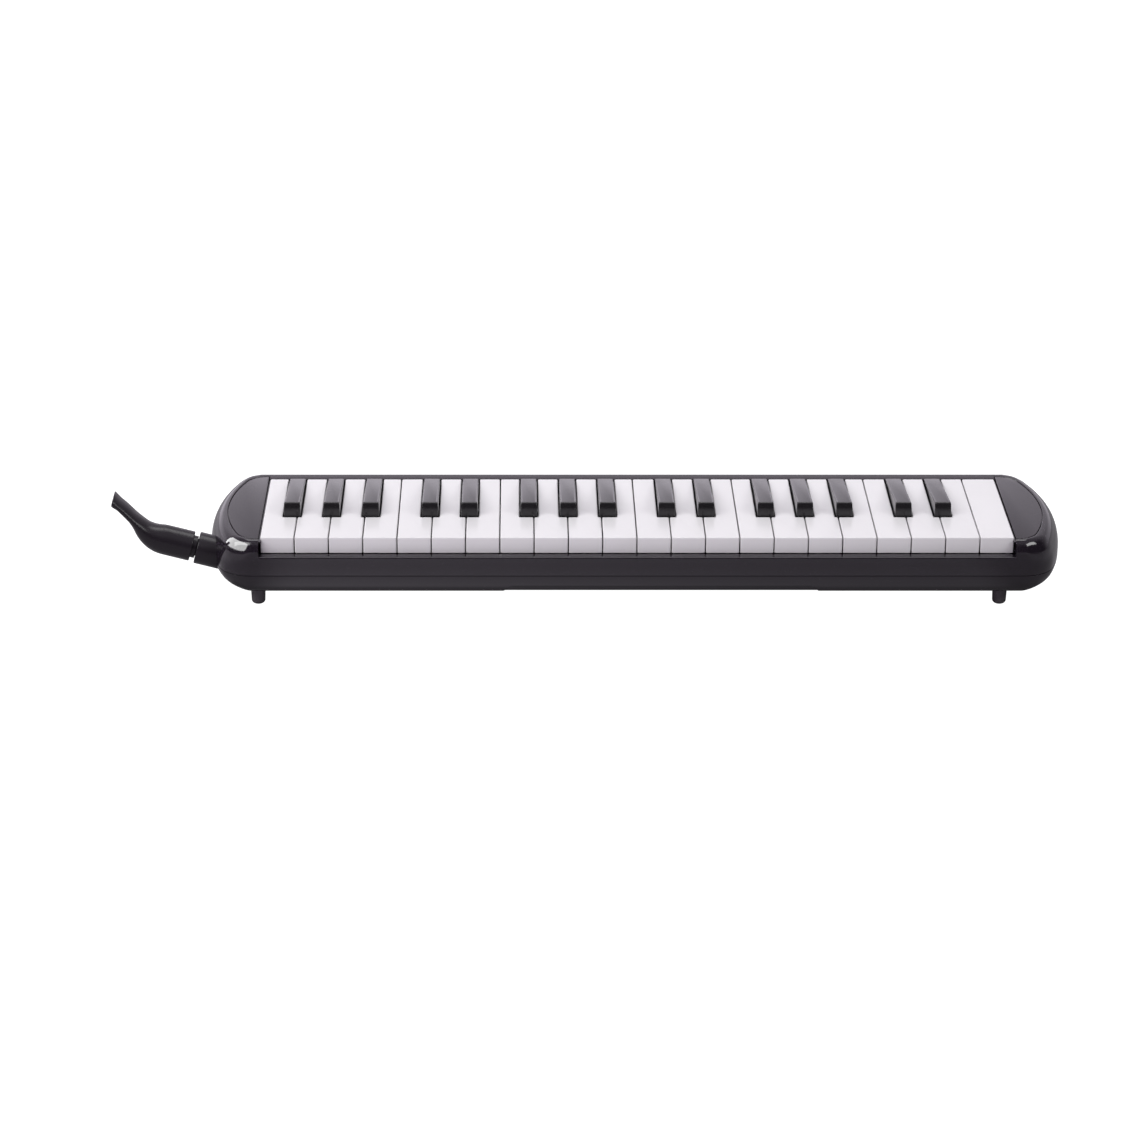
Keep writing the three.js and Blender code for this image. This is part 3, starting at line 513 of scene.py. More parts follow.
def endArcs(endRadius, corner, depth, cornerSteps, endSteps):
    # plan of the right end, front to back: corner arc, large arc, corner arc, with its normals
    centre = caseEnd - caseLook["endArc"]
    cornerY = depth - corner
    reach = endRadius - corner
    cornerX = centre + math.sqrt(reach ** 2 - cornerY ** 2)
    turn = math.asin(cornerY / reach)
    angles = [
        np.linspace(-math.pi / 2, -turn, cornerSteps),
        np.linspace(-turn, turn, endSteps)[1:-1],
        np.linspace(turn, math.pi / 2, cornerSteps),
    ]
    centres = [(cornerX, -cornerY), (centre, 0.0), (cornerX, cornerY)]
    radii = [corner, endRadius, corner]
    points = [
        np.column_stack([at[0] + radius * np.cos(angle), at[1] + radius * np.sin(angle)])
        for angle, at, radius in zip(angles, centres, radii)
    ]
    angle = np.concatenate(angles)
    return np.concatenate(points), np.column_stack([np.cos(angle), np.sin(angle)])


def placeOnCase(rings):
    # the case's plan is drawn about its own middle, which is not the frame's
    rings = rings.copy()
    rings[..., 0] += middleX
    return rings


def rimStations():
    # matching samples round the case: outer plan point, its normal, inner edge point, the direction
    # away from the opening there, top height, fillet sizes and lip depth
    outer, outerNormal = endArcs(caseLook["endArc"], caseLook["corner"], halfDepth, 12, 30)
    panelRadius = caseLook["endArc"] - panelLook["endInset"] + panelLook["groove"]
    panelDepth = halfDepth - panelLook["sideInset"] + panelLook["groove"]
    inner, innerNormal = endArcs(
        panelRadius, panelLook["corner"] + panelLook["groove"], panelDepth, 12, 30)
    cheek = openingEnd + 0.1 * mm
    panelInner = keyboardEnd + panelLook["keyMargin"] - panelLook["groove"]
    backEdge = keyBack + caseLook["keyGap"]
    ledgeEdge = keyFront - caseLook["keyGap"]
    frontStart = ([cheek, -halfDepth], [0, -1], [cheek, -panelDepth], [0, -1])
    backStart = ([panelInner, halfDepth], [0, 1], [panelInner, panelDepth], [0, 1])
    backJog = ([panelInner, halfDepth], [0, 1], [panelInner, backEdge], [0, 1])
    right = [np.vstack([[start], arcs, [stop], [jog]]) for start, arcs, stop, jog in zip(
        frontStart, (outer, outerNormal, inner, innerNormal), backStart, backJog)]
    # the left end is the right one mirrored, so it runs back to front
    left = [(part * [-1, 1])[::-1] for part in right]
    ledgeX = np.array([-cheek, -cheek * 0.5, 0.0, cheek * 0.5, cheek])
    forward = np.tile([0.0, -1.0], (len(ledgeX), 1))
    ledge = [level(ledgeX, -halfDepth), forward, level(ledgeX, ledgeEdge), forward]
    point, normal, edge, away = (np.vstack(parts) for parts in zip(right, left, ledge))
    onLedge = np.arange(len(point)) >= len(right[0]) * 2
    top = np.where(onLedge, keyFoot, rimTop)
    # the fillet is deepest round the ends and small along the back
    towardsEnd = smoothStep(np.abs(normal[:, 0]), 0.0, 0.3)
    atSide = np.where(normal[:, 1] > 0, caseLook["backFilletHeight"], caseLook["filletHeight"])
    height = atSide + (caseLook["endFilletHeight"] - atSide) * towardsEnd
    sideways = np.where(normal[:, 1] > 0, caseLook["backFillet"], caseLook["sideFillet"])
    filletX = np.where(onLedge, caseLook["ledgeFillet"], caseLook["endFillet"])
    filletY = np.where(onLedge, caseLook["ledgeFillet"], sideways)
    filletZ = np.where(onLedge, caseLook["ledgeFillet"], height)
    byKeys = np.abs(edge[:, 1] - backEdge) < 1e-6
    lip = np.where(byKeys | onLedge, caseLook["lipDepth"], caseLook["recessDepth"])
    return point, normal, edge, away, top, np.column_stack([filletX, filletY]), filletZ, lip


def upperCaseShell():
    # each station's section: up the wall, over the fillet, across the rim, down the lip and back
    # inside
    point, normal, edge, away, top, fillet, filletZ, lip = rimStations()
    wall = caseLook["wall"]
    seam = caseLook["seamEdge"]
    crisp = caseLook["crisp"]
    rings = [level(point - normal * wall, seamHeight)]
    for toGo, covered in quarterSteps(4):
        rings.append(level(point - normal * seam * toGo, seamHeight + seam * covered))
    for toGo, covered in quarterSteps(11):
        rings.append(level(point - normal * fillet * covered, top - filletZ * toGo))
    for toGo, covered in quarterSteps(4):
        rings.append(level(edge + away * crisp * toGo, top - crisp * covered))
    rings.append(level(edge, top - lip))
    rings.append(level(point - normal * (wall + fillet), top - lip))
    return loft(placeOnCase(np.stack(rings)), wrapRows=True)


def cheekOutline(shrink):
    # the case's cross-section at the keyboard's ends, from the seam up over both fillets to the
    # sunk floor under the panels
    turn = np.linspace(0, np.pi / 2, 11)
    sunk = rimTop - caseLook["recessDepth"] - caseLook["laps"]
    edgeY = halfDepth - panelLook["sideInset"] + panelLook["groove"]
    back = halfDepth - shrink
    top = rimTop - shrink
    sides = []
    for fillet, height in (
        (caseLook["backFillet"], caseLook["backFilletHeight"]),
        (caseLook["sideFillet"], caseLook["filletHeight"]),
    ):
        y = back - fillet * (1 - np.cos(turn))
        z = top - height * (1 - np.sin(turn))
        sides.append(np.vstack([np.column_stack([y, z]), [[edgeY, top], [edgeY, sunk]]]))
    front = (sides[1] * [-1, 1])[::-1]
    return np.vstack([[[back, seamHeight]], sides[0], front, [[-back, seamHeight]]])


def upperCase():
    # the shell, and at each end a cheek beside the keys and the floor of the panel's recess
    parts = [upperCaseShell()]
    floorTop = rimTop - caseLook["recessDepth"] - caseLook["laps"]
    heights = [floorTop - caseLook["floorThick"], floorTop]
    for side in (-1, 1):
        near = middleX + side * openingEnd
        far = middleX + side * (openingEnd + caseLook["wall"])
        parts.append(prismAlongX(cheekOutline(caseLook["cheekInset"]), near, far))
        plan = panelPlan(panelLook["groove"] + caseLook["floorReach"], side)
        parts.append(loft(np.stack([level(plan, height) for height in heights])))
    makePiece(
        "upper_shell", parts, materials["caseBlack"], "case", ["upper_case"])


def panelPlan(grow, side):
    # D-shaped plan of an end panel grown by grow; the left one is the right one turned about Z
    depth = halfDepth - panelLook["sideInset"] + grow
    radius = caseLook["endArc"] - panelLook["endInset"] + grow
    curve, _ = endArcs(radius, panelLook["corner"] + grow, depth, 12, 40)
    inner = keyboardEnd + panelLook["keyMargin"] - grow
    plan = np.vstack([[[inner, -depth]], curve, [[inner, depth]]])
    plan = plan * side
    plan[:, 0] += middleX
    return plan


def endPanel(name, side):
    # rings of the same plan drawn in by a quarter circle at the upper edge
    low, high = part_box(name)
    edge = panelLook["edge"]
    rings = [(0.0, low[2])]
    for toGo, covered in quarterSteps(5):
        rings.append((-edge * covered, high[2] - edge * toGo))
    stack = [level(panelPlan(grow, side), height) for grow, height in rings]
    makePiece(
        name.replace("_panel", "_plate"), [loft(np.stack(stack))], materials["panelBlack"],
        "case", [name])


def lowerStations():
    # samples round the lower case; the front side has paired samples at the grip relief's ends
    outer, outerNormal = endArcs(caseLook["endArc"], caseLook["corner"], halfDepth, 14, 36)
    start, end = gripLook["start"], gripLook["end"]
    front = level(np.array([start, start, 0.0, end, end]), -halfDepth)
    point = np.vstack([outer, -outer, front])
    normal = np.vstack([outerNormal, -outerNormal, np.tile([0.0, -1.0], (len(front), 1))])
    relieved = np.zeros(len(point), dtype=bool)
    relieved[-4:-1] = True
    sloping = np.zeros(len(point))
    sloping[-5:-3] = -1.0
    sloping[-2:] = 1.0
    return point, normal, relieved, sloping


def lowerCase():
    # section: inner floor, up the inner wall, over the seam edge, down and round to the underside
    point, normal, relieved, sloping = lowerStations()
    wall = caseLook["wall"]
    seam = caseLook["seamEdge"]
    radius = caseLook["bottomRound"]
    top = seamHeight - caseLook["seamGap"]
    bottom = lowerLow[2]
    rings = []

    def ring(inset, height, drawn=0.0):
        plan = point - normal * inset
        plan[:, 0] -= normal[:, 0] * caseLook["bottomEndDraw"] * drawn
        return level(plan, height)

    small = radius - wall
    floor = bottom + caseLook["floor"]
    for toGo, covered in reversed(list(quarterSteps(6))):
        rings.append(ring(wall + small * covered, floor + small * toGo, covered))
    for toGo, covered in quarterSteps(4):
        rings.append(ring(seam * toGo, top - seam * covered))
    insideCount = len(rings)
    for toGo, covered in quarterSteps(15):
        rings.append(ring(radius * covered, bottom + radius * toGo, covered))
    rings = np.stack(rings)
    outside = np.arange(len(rings)) >= insideCount
    # the grip relief: points beyond the flat are moved square onto it
    start = np.array([-halfDepth + gripLook["setIn"], bottom + gripLook["height"]])
    finish = np.array([-halfDepth + gripLook["reach"], bottom])
    along = (finish - start) / np.linalg.norm(finish - start)
    square = np.array([along[1], -along[0]])
    height = rings[..., 2] - bottom
    share = np.clip(1 - height / gripLook["height"], 0, 1)
    rings[..., 0] += sloping * gripLook["slope"] * share * outside[:, None]
    offset = (rings[..., 1:] - start) @ square
    beyond = (offset < 0) if square[0] > 0 else (offset > 0)
    move = beyond & relieved & outside[:, None]
    rings[..., 1:] -= np.where(move, offset, 0.0)[..., None] * square
    tub = loft(placeOnCase(rings))
    makePiece(
        "lower_shell", [tub], materials["caseBlack"], "case", ["lower_case"])


upperCase()
endPanel("left_end_panel", -1)
endPanel("right_end_panel", 1)
lowerCase()
print("case ready")


keyLook = {
    "plate": 2.4 * mm, "skirt": 1.5 * mm, "edge": 0.75 * mm, "corner": 0.9 * mm, "draft": 0.4 * mm,
    "notch": 1.2 * mm, "rocker": 7.0 * mm, "pad": 1.8 * mm, "foot": 0.2 * mm,
    "saddleGap": 0.3 * mm, "saddleReach": 4.0 * mm, "saddleDepth": 1.9 * mm,
}
blackLook = {
    "taper": 0.2 * mm,  # of each side, up to the rounded edge
    "edge": 0.85 * mm, "corner": 0.7 * mm,
    "tailRise": 0.4 * mm,  # above the white keys, at the back
    "crest": 1.5 * mm,  # the front's lean at the highest point
    "skirtTop": 1.6 * mm,  # below the white keys, where the sides begin to follow the slope
}
# the front leans back with height: (height above the white keys, distance back)
blackFront = np.array([
    [0.0, 0.0], [4.2, 0.28], [6.6, 0.95], [7.1, 1.12], [7.5, 1.33], [7.8, 1.62], [7.95, 1.95],
    [8.05, 2.4],
]) * mm
# shares of the sides' height at which a black key has a ring
blackRise = np.array([0.0, 0.184, 0.42, 0.667, 0.84, 1.0])
shaftLow, shaftHigh = boxOf("key_shaft")
pivot = (shaftLow + shaftHigh) / 2
shaftRadius = (shaftHigh[2] - shaftLow[2]) / 2
padPlan = {"setback": 0.9 * mm, "length": 8.5 * mm, "edge": 0.35 * mm}


def rockerPart(centre, padFace):
    # saddle over the shaft and arm down to the pad, as one outline in Y and Z
    notch = shaftRadius + keyLook["saddleGap"]
    reach = keyLook["saddleReach"]
    foot = pivot[2] - shaftRadius - keyLook["saddleDepth"]
    root = keyTop - keyLook["plate"] * 0.7
    turn = np.linspace(np.pi, 0, 9)
    saddle = pivot[1:] + notch * np.column_stack([np.cos(turn), np.sin(turn)])
    back = keyBack - padPlan["setback"]
    front = back - padPlan["length"]
    outline = np.vstack([
        [[pivot[1] - reach, root], [pivot[1] - reach, foot], [pivot[1] - notch, foot]],
        saddle,
        [[pivot[1] + notch, foot], [pivot[1] + reach, foot], [pivot[1] + reach, pivot[2] + notch]],
        [[front, pivot[2] + notch], [front, padFace], [back, padFace], [back, root]],
    ])
    return prismAlongX(outline, centre - keyLook["rocker"] / 2, centre + keyLook["rocker"] / 2)


def rearSides(name):
    # a white key is narrowed beside each black neighbour by the gap between keys
    low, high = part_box(name)
    left, right = low[0], high[0]
    for other in blackKeys:
        otherLow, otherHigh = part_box(other)
        if otherLow[0] < low[0] < otherHigh[0]:
            left = otherHigh[0] + keySideGap
        if otherLow[0] < high[0] < otherHigh[0]:
            right = otherLow[0] - keySideGap
    return left, right


def whiteKey(name):
    # rings of the key's plan: pocket roof, skirt, foot, outer side, rounded upper edge
    low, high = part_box(name)
    rearLeft, rearRight = rearSides(name)
    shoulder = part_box(blackKeys[0])[0][1] - keyLook["notch"]
    plan = [[low[0], low[1]], [high[0], low[1]]]
    if rearRight < high[0]:
        plan += [[high[0], shoulder], [rearRight, shoulder]]
    plan += [[rearRight, high[1]], [rearLeft, high[1]]]
    if rearLeft > low[0]:
        plan += [[rearLeft, shoulder], [low[0], shoulder]]
    edge = keyLook["edge"]
    skirt = keyLook["skirt"]
    foot = keyLook["foot"]
    stack = [
        (skirt, keyTop - keyLook["plate"]), (skirt, keyFoot + foot), (skirt - foot, keyFoot),
        (foot, keyFoot), (0.0, keyFoot + foot), (0.0, (keyFoot + keyTop) / 2)]
    for toGo, covered in quarterSteps(7):
        stack.append((edge * covered, keyTop - edge * toGo))
    rings = []
    for inset, height in stack:
        corner = max(keyLook["corner"] - inset, 0.12 * mm)
        ringPlan = roundCorners(insetPolygon(plan, inset), corner, 5)
        rings.append(level(ringPlan, height))
    rings = np.stack(rings)
    lean = keyLook["draft"] * (keyTop - rings[..., 2]) / (keyTop - keyFoot)
    rings[..., 1] += np.where(rings[..., 1] < low[1] + 2 * mm, lean, 0.0)
    centre = (rearLeft + rearRight) / 2
    parts = [loft(rings), rockerPart(centre, low[2] + keyLook["pad"])]
    makePiece(
        name.replace("key_", "white_key_"), parts, materials["keyWhite"], name,
        [name])
    return centre


def blackKey(name):
    # plan rings between the skirt and a top that slopes down to the back; each ring is level across
    # and runs straight from its height at the front to its height at the back
    low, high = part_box(name)
    slopeLength = (high[1] - low[1]) - blackLook["crest"]
    drop = (high[2] - keyTop - blackLook["tailRise"]) / slopeLength
    edge = blackLook["edge"]
    frontTop = high[2] + drop * blackLook["crest"]
    backTop = keyTop + blackLook["tailRise"]
    start = keyTop - blackLook["skirtTop"]
    share = blackRise
    turn = np.linspace(0, np.pi / 2, 8)[1:]
    foot = keyLook["foot"]
    frontHeight, backHeight = (
        np.concatenate([
            [keyFoot, keyFoot + foot], start + (top - edge - start) * share,
            top - edge * (1 - np.sin(turn))])
        for top in (frontTop, backTop))
    rounding = np.concatenate([[foot], np.zeros(len(share) + 1), edge * (1 - np.cos(turn))])
    rise = high[2] - keyTop
    sideFront = blackLook["taper"] * np.clip((frontHeight - keyTop) / rise, 0, 1) + rounding
    lean = np.interp(frontHeight - keyTop, blackFront[:, 0], blackFront[:, 1])
    lean[0] = foot
    rings = []
    for index in range(len(frontHeight)):
        y0 = low[1] + lean[index]
        y1 = high[1] - rounding[index]
        corners = [
            [low[0] + sideFront[index], y0], [high[0] - sideFront[index], y0],
            [high[0] - rounding[index], y1], [low[0] + rounding[index], y1]]
        plan = roundCorners(corners, blackLook["corner"], 5)
        along = (plan[:, 1] - low[1]) / (high[1] - low[1])
        height = frontHeight[index] + (backHeight[index] - frontHeight[index]) * along
        rings.append(level(plan, height))
    skirt = keyLook["skirt"]
    pocket = roundCorners([
        [low[0] + skirt, low[1] + skirt], [high[0] - skirt, low[1] + skirt],
        [high[0] - skirt, high[1] - skirt], [low[0] + skirt, high[1] - skirt]], 0.4 * mm, 5)
    roof = level(pocket, keyTop - keyLook["plate"])
    mouth = level(pocket, keyFoot)
    centre = (low[0] + high[0]) / 2
    body = loft(np.concatenate([[roof, mouth], np.stack(rings)]))
    parts = [body, rockerPart(centre, low[2] + keyLook["pad"])]
    makePiece(
        name.replace("key_", "black_key_"), parts, materials["keyBlack"], name,
        [name])
    return centre


def valvePad(name, centre):
    # felt block under the end of the rocker's arm
    back = keyBack - padPlan["setback"]
    front = back - padPlan["length"]
    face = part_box(name)[0][2]
    half = keyLook["rocker"] / 2
    part = roundedBox(
        (centre - half, front, face), (centre + half, back, face + keyLook["pad"]),
        padPlan["edge"])
    makePiece(name.replace("key_", "valve_pad_"), [part], materials["padFelt"], name)


keyCentres = {name: whiteKey(name) for name in whiteKeys}
keyCentres.update({name: blackKey(name) for name in blackKeys})
for keyName, keyCentre in keyCentres.items():
    valvePad(keyName, keyCentre)
print("keys ready")


mouthLook = {
    "tilt": math.radians(14.8), "bend": math.radians(38.2), "bendRadius": 20.5 * mm,
    "socketOut": 9.5 * mm, "neck": 2.5 * mm, "straight": 17.0 * mm, "blade": 22.9 * mm,
    "sweep": math.radians(11.5),  # by which the blade curves back
    "flattenBefore": 2.0 * mm, "flattenAfter": 9.8 * mm,
    "radius": 8.45 * mm, "wall": 1.5 * mm, "bladeThin": 2.95 * mm, "bladeWide": 7.6 * mm,
    "lipThin": 3.7 * mm, "lipWide": 8.0 * mm, "lip": 2.5 * mm, "tipFace": math.radians(15),
    "neckRadius": 6.3 * mm, "plugRadius": 4.9 * mm, "plugBore": 3.0 * mm, "plug": 15.5 * mm,
    "grooveRadius": 4.0 * mm, "grooveWidth": 1.6 * mm, "ringFromMouth": 7.5 * mm,
    "ringAbove": 0.8 * mm, "ringRadius": 0.5 * mm, "edge": 0.5 * mm, "neckGap": 0.3 * mm,
    "leanFrom": 6 * mm,  # past the bend, where the section starts to lean to the tip face
}
socketLook = {
    "fromFront": 27.9 * mm, "height": 16.6 * mm, "radius": 9.0 * mm, "bore": 5.6 * mm,
    "inside": 9.0 * mm, "edge": 0.6 * mm,
}
socketY = upperLow[1] + socketLook["fromFront"]
centreOfEnd = caseEnd - caseLook["endArc"]
socketX = middleX - centreOfEnd - math.sqrt(caseLook["endArc"] ** 2 - socketY ** 2)
socketZ = lowerLow[2] + socketLook["height"]
neckStart = mouthLook["socketOut"] + mouthLook["neckGap"]
mouthStart = neckStart + mouthLook["neck"]
bendStart = mouthStart + mouthLook["straight"]
bendEnd = bendStart + mouthLook["bendRadius"] * mouthLook["bend"]
tipEnd = bendEnd + mouthLook["blade"]


def mouthAxis(distance):
    # straight run, circular bend and a blade that curves back; gives outward and upward reach and
    # the slope
    tilt = mouthLook["tilt"]
    radius = mouthLook["bendRadius"]
    sweep = mouthLook["blade"] / mouthLook["sweep"]
    straight = np.minimum(distance, bendStart)
    elbow = tilt + np.clip((distance - bendStart) / radius, 0, mouthLook["bend"])
    slope = elbow - np.maximum(distance - bendEnd, 0) / sweep
    out = straight * math.cos(tilt) + radius * (np.sin(elbow) - math.sin(tilt))
    out = out + sweep * (np.sin(elbow) - np.sin(slope))
    up = straight * math.sin(tilt) + radius * (math.cos(tilt) - np.cos(elbow))
    up = up + sweep * (np.cos(slope) - np.cos(elbow))
    return out, up, slope


def mouthSection(distance):
    # half thickness and half width: round, then flattened into a blade, then flared into a lip
    flatten = smoothStep(
        distance, bendStart - mouthLook["flattenBefore"], bendEnd + mouthLook["flattenAfter"])
    flare = smoothStep(distance, tipEnd - 2 * mouthLook["lip"], tipEnd)
    thin = mouthLook["radius"] + flatten * (mouthLook["bladeThin"] - mouthLook["radius"])
    wide = mouthLook["radius"] + flatten * (mouthLook["bladeWide"] - mouthLook["radius"])
    thin = thin + flare * (mouthLook["lipThin"] - mouthLook["bladeThin"])
    wide = wide + flare * (mouthLook["lipWide"] - mouthLook["bladeWide"])
    return thin, wide


def bentTube(profile, steps=48):
    # a closed profile of (radius, distance) carried round the bent axis; the section's own half
    # sizes replace the full radius, and the last stretch leans to the tip face
    profile = np.asarray(profile, float)
    angle = np.linspace(0, 2 * np.pi, steps, endpoint=False)
    radius = profile[:, :1]
    distance = profile[:, 1:2]
    out, up, slope = mouthAxis(distance)
    thin, wide = mouthSection(distance)
    lean = smoothStep(distance, bendEnd + mouthLook["leanFrom"], tipEnd)
    facing = slope + lean * (mouthLook["tipFace"] - slope)
    rise = np.cos(angle) * (radius - mouthLook["radius"] + thin)
    across = np.sin(angle) * (radius - mouthLook["radius"] + wide)
    x = socketX - (out - rise * np.sin(facing))
    y = socketY + across
    z = socketZ + up + rise * np.cos(facing)
    return loft(np.stack([x, y, z], axis=-1), wrapRows=True)


def quarter(centreRadius, centreDistance, radius, start, end, count=5):
    # points of a rounded edge in a (radius, distance) profile
    turn = np.linspace(math.radians(start), math.radians(end), count)
    circle = radius * np.column_stack([np.cos(turn), np.sin(turn)])
    return np.array([centreRadius, centreDistance]) + circle


def mouthpiece():
    # one closed profile: plug with its groove, neck, shoulder, outside, rounded lip and bore
    full = mouthLook["radius"]
    inner = full - mouthLook["wall"]
    plug = mouthLook["plugRadius"]
    groove = mouthLook["grooveRadius"]
    neck = mouthLook["neckRadius"]
    edge = mouthLook["edge"]
    ring = mouthLook["socketOut"] - mouthLook["ringFromMouth"]
    first = ring - mouthLook["grooveWidth"] / 2
    last = ring + mouthLook["grooveWidth"] / 2
    plugEnd = neckStart - mouthLook["plug"]
    lipRound = mouthLook["wall"] / 2
    outerRun = np.linspace(mouthStart + 2 * edge, tipEnd - lipRound, 60)
    innerRun = np.linspace(tipEnd - lipRound, mouthStart + mouthLook["wall"], 40)
    profile = np.vstack([
        [[mouthLook["plugBore"], plugEnd], [plug - 0.4 * mm, plugEnd], [plug, plugEnd + 0.8 * mm]],
        [[plug, first], [groove, first], [groove, last], [plug, last], [plug, neckStart]],
        [[neck - 0.2 * mm, neckStart], [neck, neckStart + 0.2 * mm], [neck, mouthStart]],
        quarter(full - edge, mouthStart + edge, edge, -90, 0),
        level(outerRun, full)[:, ::-1],
        quarter(full - lipRound, tipEnd - lipRound, lipRound, 0, 180, 9)[1:-1],
        level(innerRun, inner)[:, ::-1],
        [[mouthLook["plugBore"], mouthStart - edge]],
    ])
    makePiece(
        "mouth_tube", [bentTube(profile)], materials["mouthBlack"], "mouthpiece",
        ["mouthpiece"])


def blowSocket():
    # a straight tube on the same axis, so the bent profile's straight run carries it
    radius = socketLook["radius"]
    edge = socketLook["edge"]
    end = mouthLook["socketOut"]
    profile = np.vstack([
        [[socketLook["bore"], -socketLook["inside"]], [radius, -socketLook["inside"]]],
        [[radius, 0.0]],
        quarter(radius - edge, end - edge, edge, 0, 90),
        quarter(socketLook["bore"] + edge, end - edge, edge, 90, 180),
    ])
    makePiece(
        "spout", [bentTube(profile)], materials["mouthBlack"], "case",
        ["blow_socket"])


def sealingRing():
    # a circle in the groove carried round the plug
    centreRadius = mouthLook["grooveRadius"] + mouthLook["ringAbove"]
    ring = mouthLook["socketOut"] - mouthLook["ringFromMouth"]
    profile = quarter(centreRadius, ring, mouthLook["ringRadius"], 0, 360, 17)[:-1]
    makePiece(
        "sealing_ring", [bentTube(profile)], materials["footRubber"], "plug_ring",
        ["plug_ring"])


blowSocket()
mouthpiece()
sealingRing()
print("mouthpiece ready")


footLook = {"taper": 0.3 * mm, "round": 2.0 * mm, "sunk": 0.3 * mm}
drainLook = {
    "head": 2.5 * mm, "stem": 1.8 * mm, "disc": 4.5 * mm, "discThick": 1.5 * mm, "edge": 0.6 * mm,
    "dish": 0.5 * mm,
}
strapLook = {
    "thickness": 1.6 * mm, "span": 93.0 * mm,  # half of the bowed stretch
    "squareness": 8, "edgeShare": 0.16,
}
# outline of a screw head in the underside, (radius, height below it); the middle is the recess
screwOutline = np.array([
    [0, 0.35], [0.9, 0.3], [1.1, -0.35], [2.2, -0.25], [3.0, -0.05], [3.2, 0.3], [0, 0.5],
]) * mm
screwSpots = np.array([
    [-225, 0], [225, 0], [-150, -36], [0, -30], [150, -36], [-150, 40], [0, 40], [150, 40],
]) * mm


def foot(name):
    # turned outline: flat underside, rounded lower edge, slight taper
    low, high = boxOf(name)
    radius = (high[0] - low[0]) / 2
    rounded = footLook["round"]
    top = high[2] + footLook["sunk"]
    profile = np.vstack([
        [[0, low[2]]],
        quarter(radius - footLook["taper"] - rounded, low[2] + rounded, rounded, -90, 0, 8),
        [[radius, top], [0, top]],
    ])
    makePiece(
        name.replace("foot_", "round_foot_"), [turned(profile, (low + high) / 2)],
        materials["footRubber"], "case", [name])


def drainButton():
    # turned outline: dished head with a rounded edge, stem and valve disc
    low, high = boxOf("drain_button")
    radius = (high[0] - low[0]) / 2
    head = low[2] + drainLook["head"]
    stem, disc, edge = (drainLook[part] for part in ("stem", "disc", "edge"))
    under = high[2] - drainLook["discThick"]
    dish = drainLook["dish"]
    profile = np.vstack([
        [[0, low[2] + dish], [radius * 0.55, low[2] + dish * 0.7], [radius * 0.7, low[2]]],
        quarter(radius - edge, low[2] + edge, edge, -90, 0, 6),
        [[radius, head], [stem, head], [stem, under], [disc, under]],
        [[disc, high[2]], [0, high[2]]],
    ])
    makePiece(
        "drain_push_button", [turned(profile, (low + high) / 2)], materials["partBlack"],
        "drain_button", ["drain_button"])


def handStrap():
    # the tape's centre line is level in the anchors and bowed by a raised cosine between them
    low, high = boxOf("hand_strap")
    thickness = strapLook["thickness"]
    endHeight = high[2] - thickness
    half = (high[0] - low[0]) / 2
    span = strapLook["span"]
    bow = endHeight - low[2]
    x = np.linspace(-half, half, 161)
    shape = np.where(np.abs(x) < span, 0.5 + 0.5 * np.cos(np.pi * x / span), 0.0)
    height = endHeight - bow * shape
    across = np.linspace(-1, 1, 25)
    roundness = 1 - np.abs(across) ** strapLook["squareness"]
    crown = thickness / 2 * np.sqrt(np.clip(roundness, strapLook["edgeShare"], 1))
    halfWidth = (high[1] - low[1]) / 2
    middle = (height + thickness / 2)[:, None]
    faces = [
        np.stack(np.broadcast_arrays(
            (middleX + x)[:, None], halfWidth * side, middle + rise), axis=-1)
        for side, rise in ((across, crown), (across[::-1], -crown))]
    strap = makePiece(
        "strap_tape", [loft(np.concatenate(faces, axis=1))], materials["strapTape"], "case",
        ["hand_strap"], sharp=70)
    length = np.concatenate([[0], np.cumsum(np.hypot(np.diff(x), np.diff(height)))])
    mesh = strap.data
    layer = mesh.uv_layers.new(name="tape")
    corner = np.zeros(len(mesh.loops), dtype=np.int32)
    mesh.loops.foreach_get("vertex_index", corner)
    points = np.zeros(len(mesh.vertices) * 3)
    mesh.vertices.foreach_get("co", points)
    points = points.reshape(-1, 3)
    along = np.interp(points[corner, 0] - middleX, x, length)
    layer.data.foreach_set("uv", np.column_stack([along, points[corner, 1]]).ravel())


def caseScrews():
    # domed heads in the underside, each with its recess as a dip in the dome
    profile = screwOutline + [0, lowerLow[2]]
    parts = [turned(profile, spot + [middleX, 0], 24) for spot in screwSpots]
    makePiece("case_screws", parts, materials["shaftSteel"], "case")


for footName in [name for name in nodes if name.startswith("foot_")]:
    foot(footName)
drainButton()
handStrap()
caseScrews()
print("underside ready")


innerFinishes = {
    "key_shaft": "shaftSteel",
    "reed_plate_low": "reedBrass", "reed_plate_high": "reedBrass", "key_stop_felt": "stopFelt",
    "valve_plate": "chamberGrey", "air_chamber": "chamberGrey",
    "strap_anchor_left": "partBlack", "strap_anchor_right": "partBlack",
}
for nodeName, finish in innerFinishes.items():
    nodes[nodeName].data.materials.clear()
    nodes[nodeName].data.materials.append(materials[finish])


springLook = {
    "strip": 6.0 * mm, "thickness": 0.5 * mm, "leafWidth": 3.0 * mm, "flat": 4.0 * mm,
    "lean": 0.4 * mm,  # a leaf's slope shifts its upper side by this
    "whiteKeep": 0.94, "blackKeep": 0.90,  # share of a leaf's height left under a pressed key
    "wire": 0.35 * mm, "turns": 3, "coilKeep": 0.46,
}


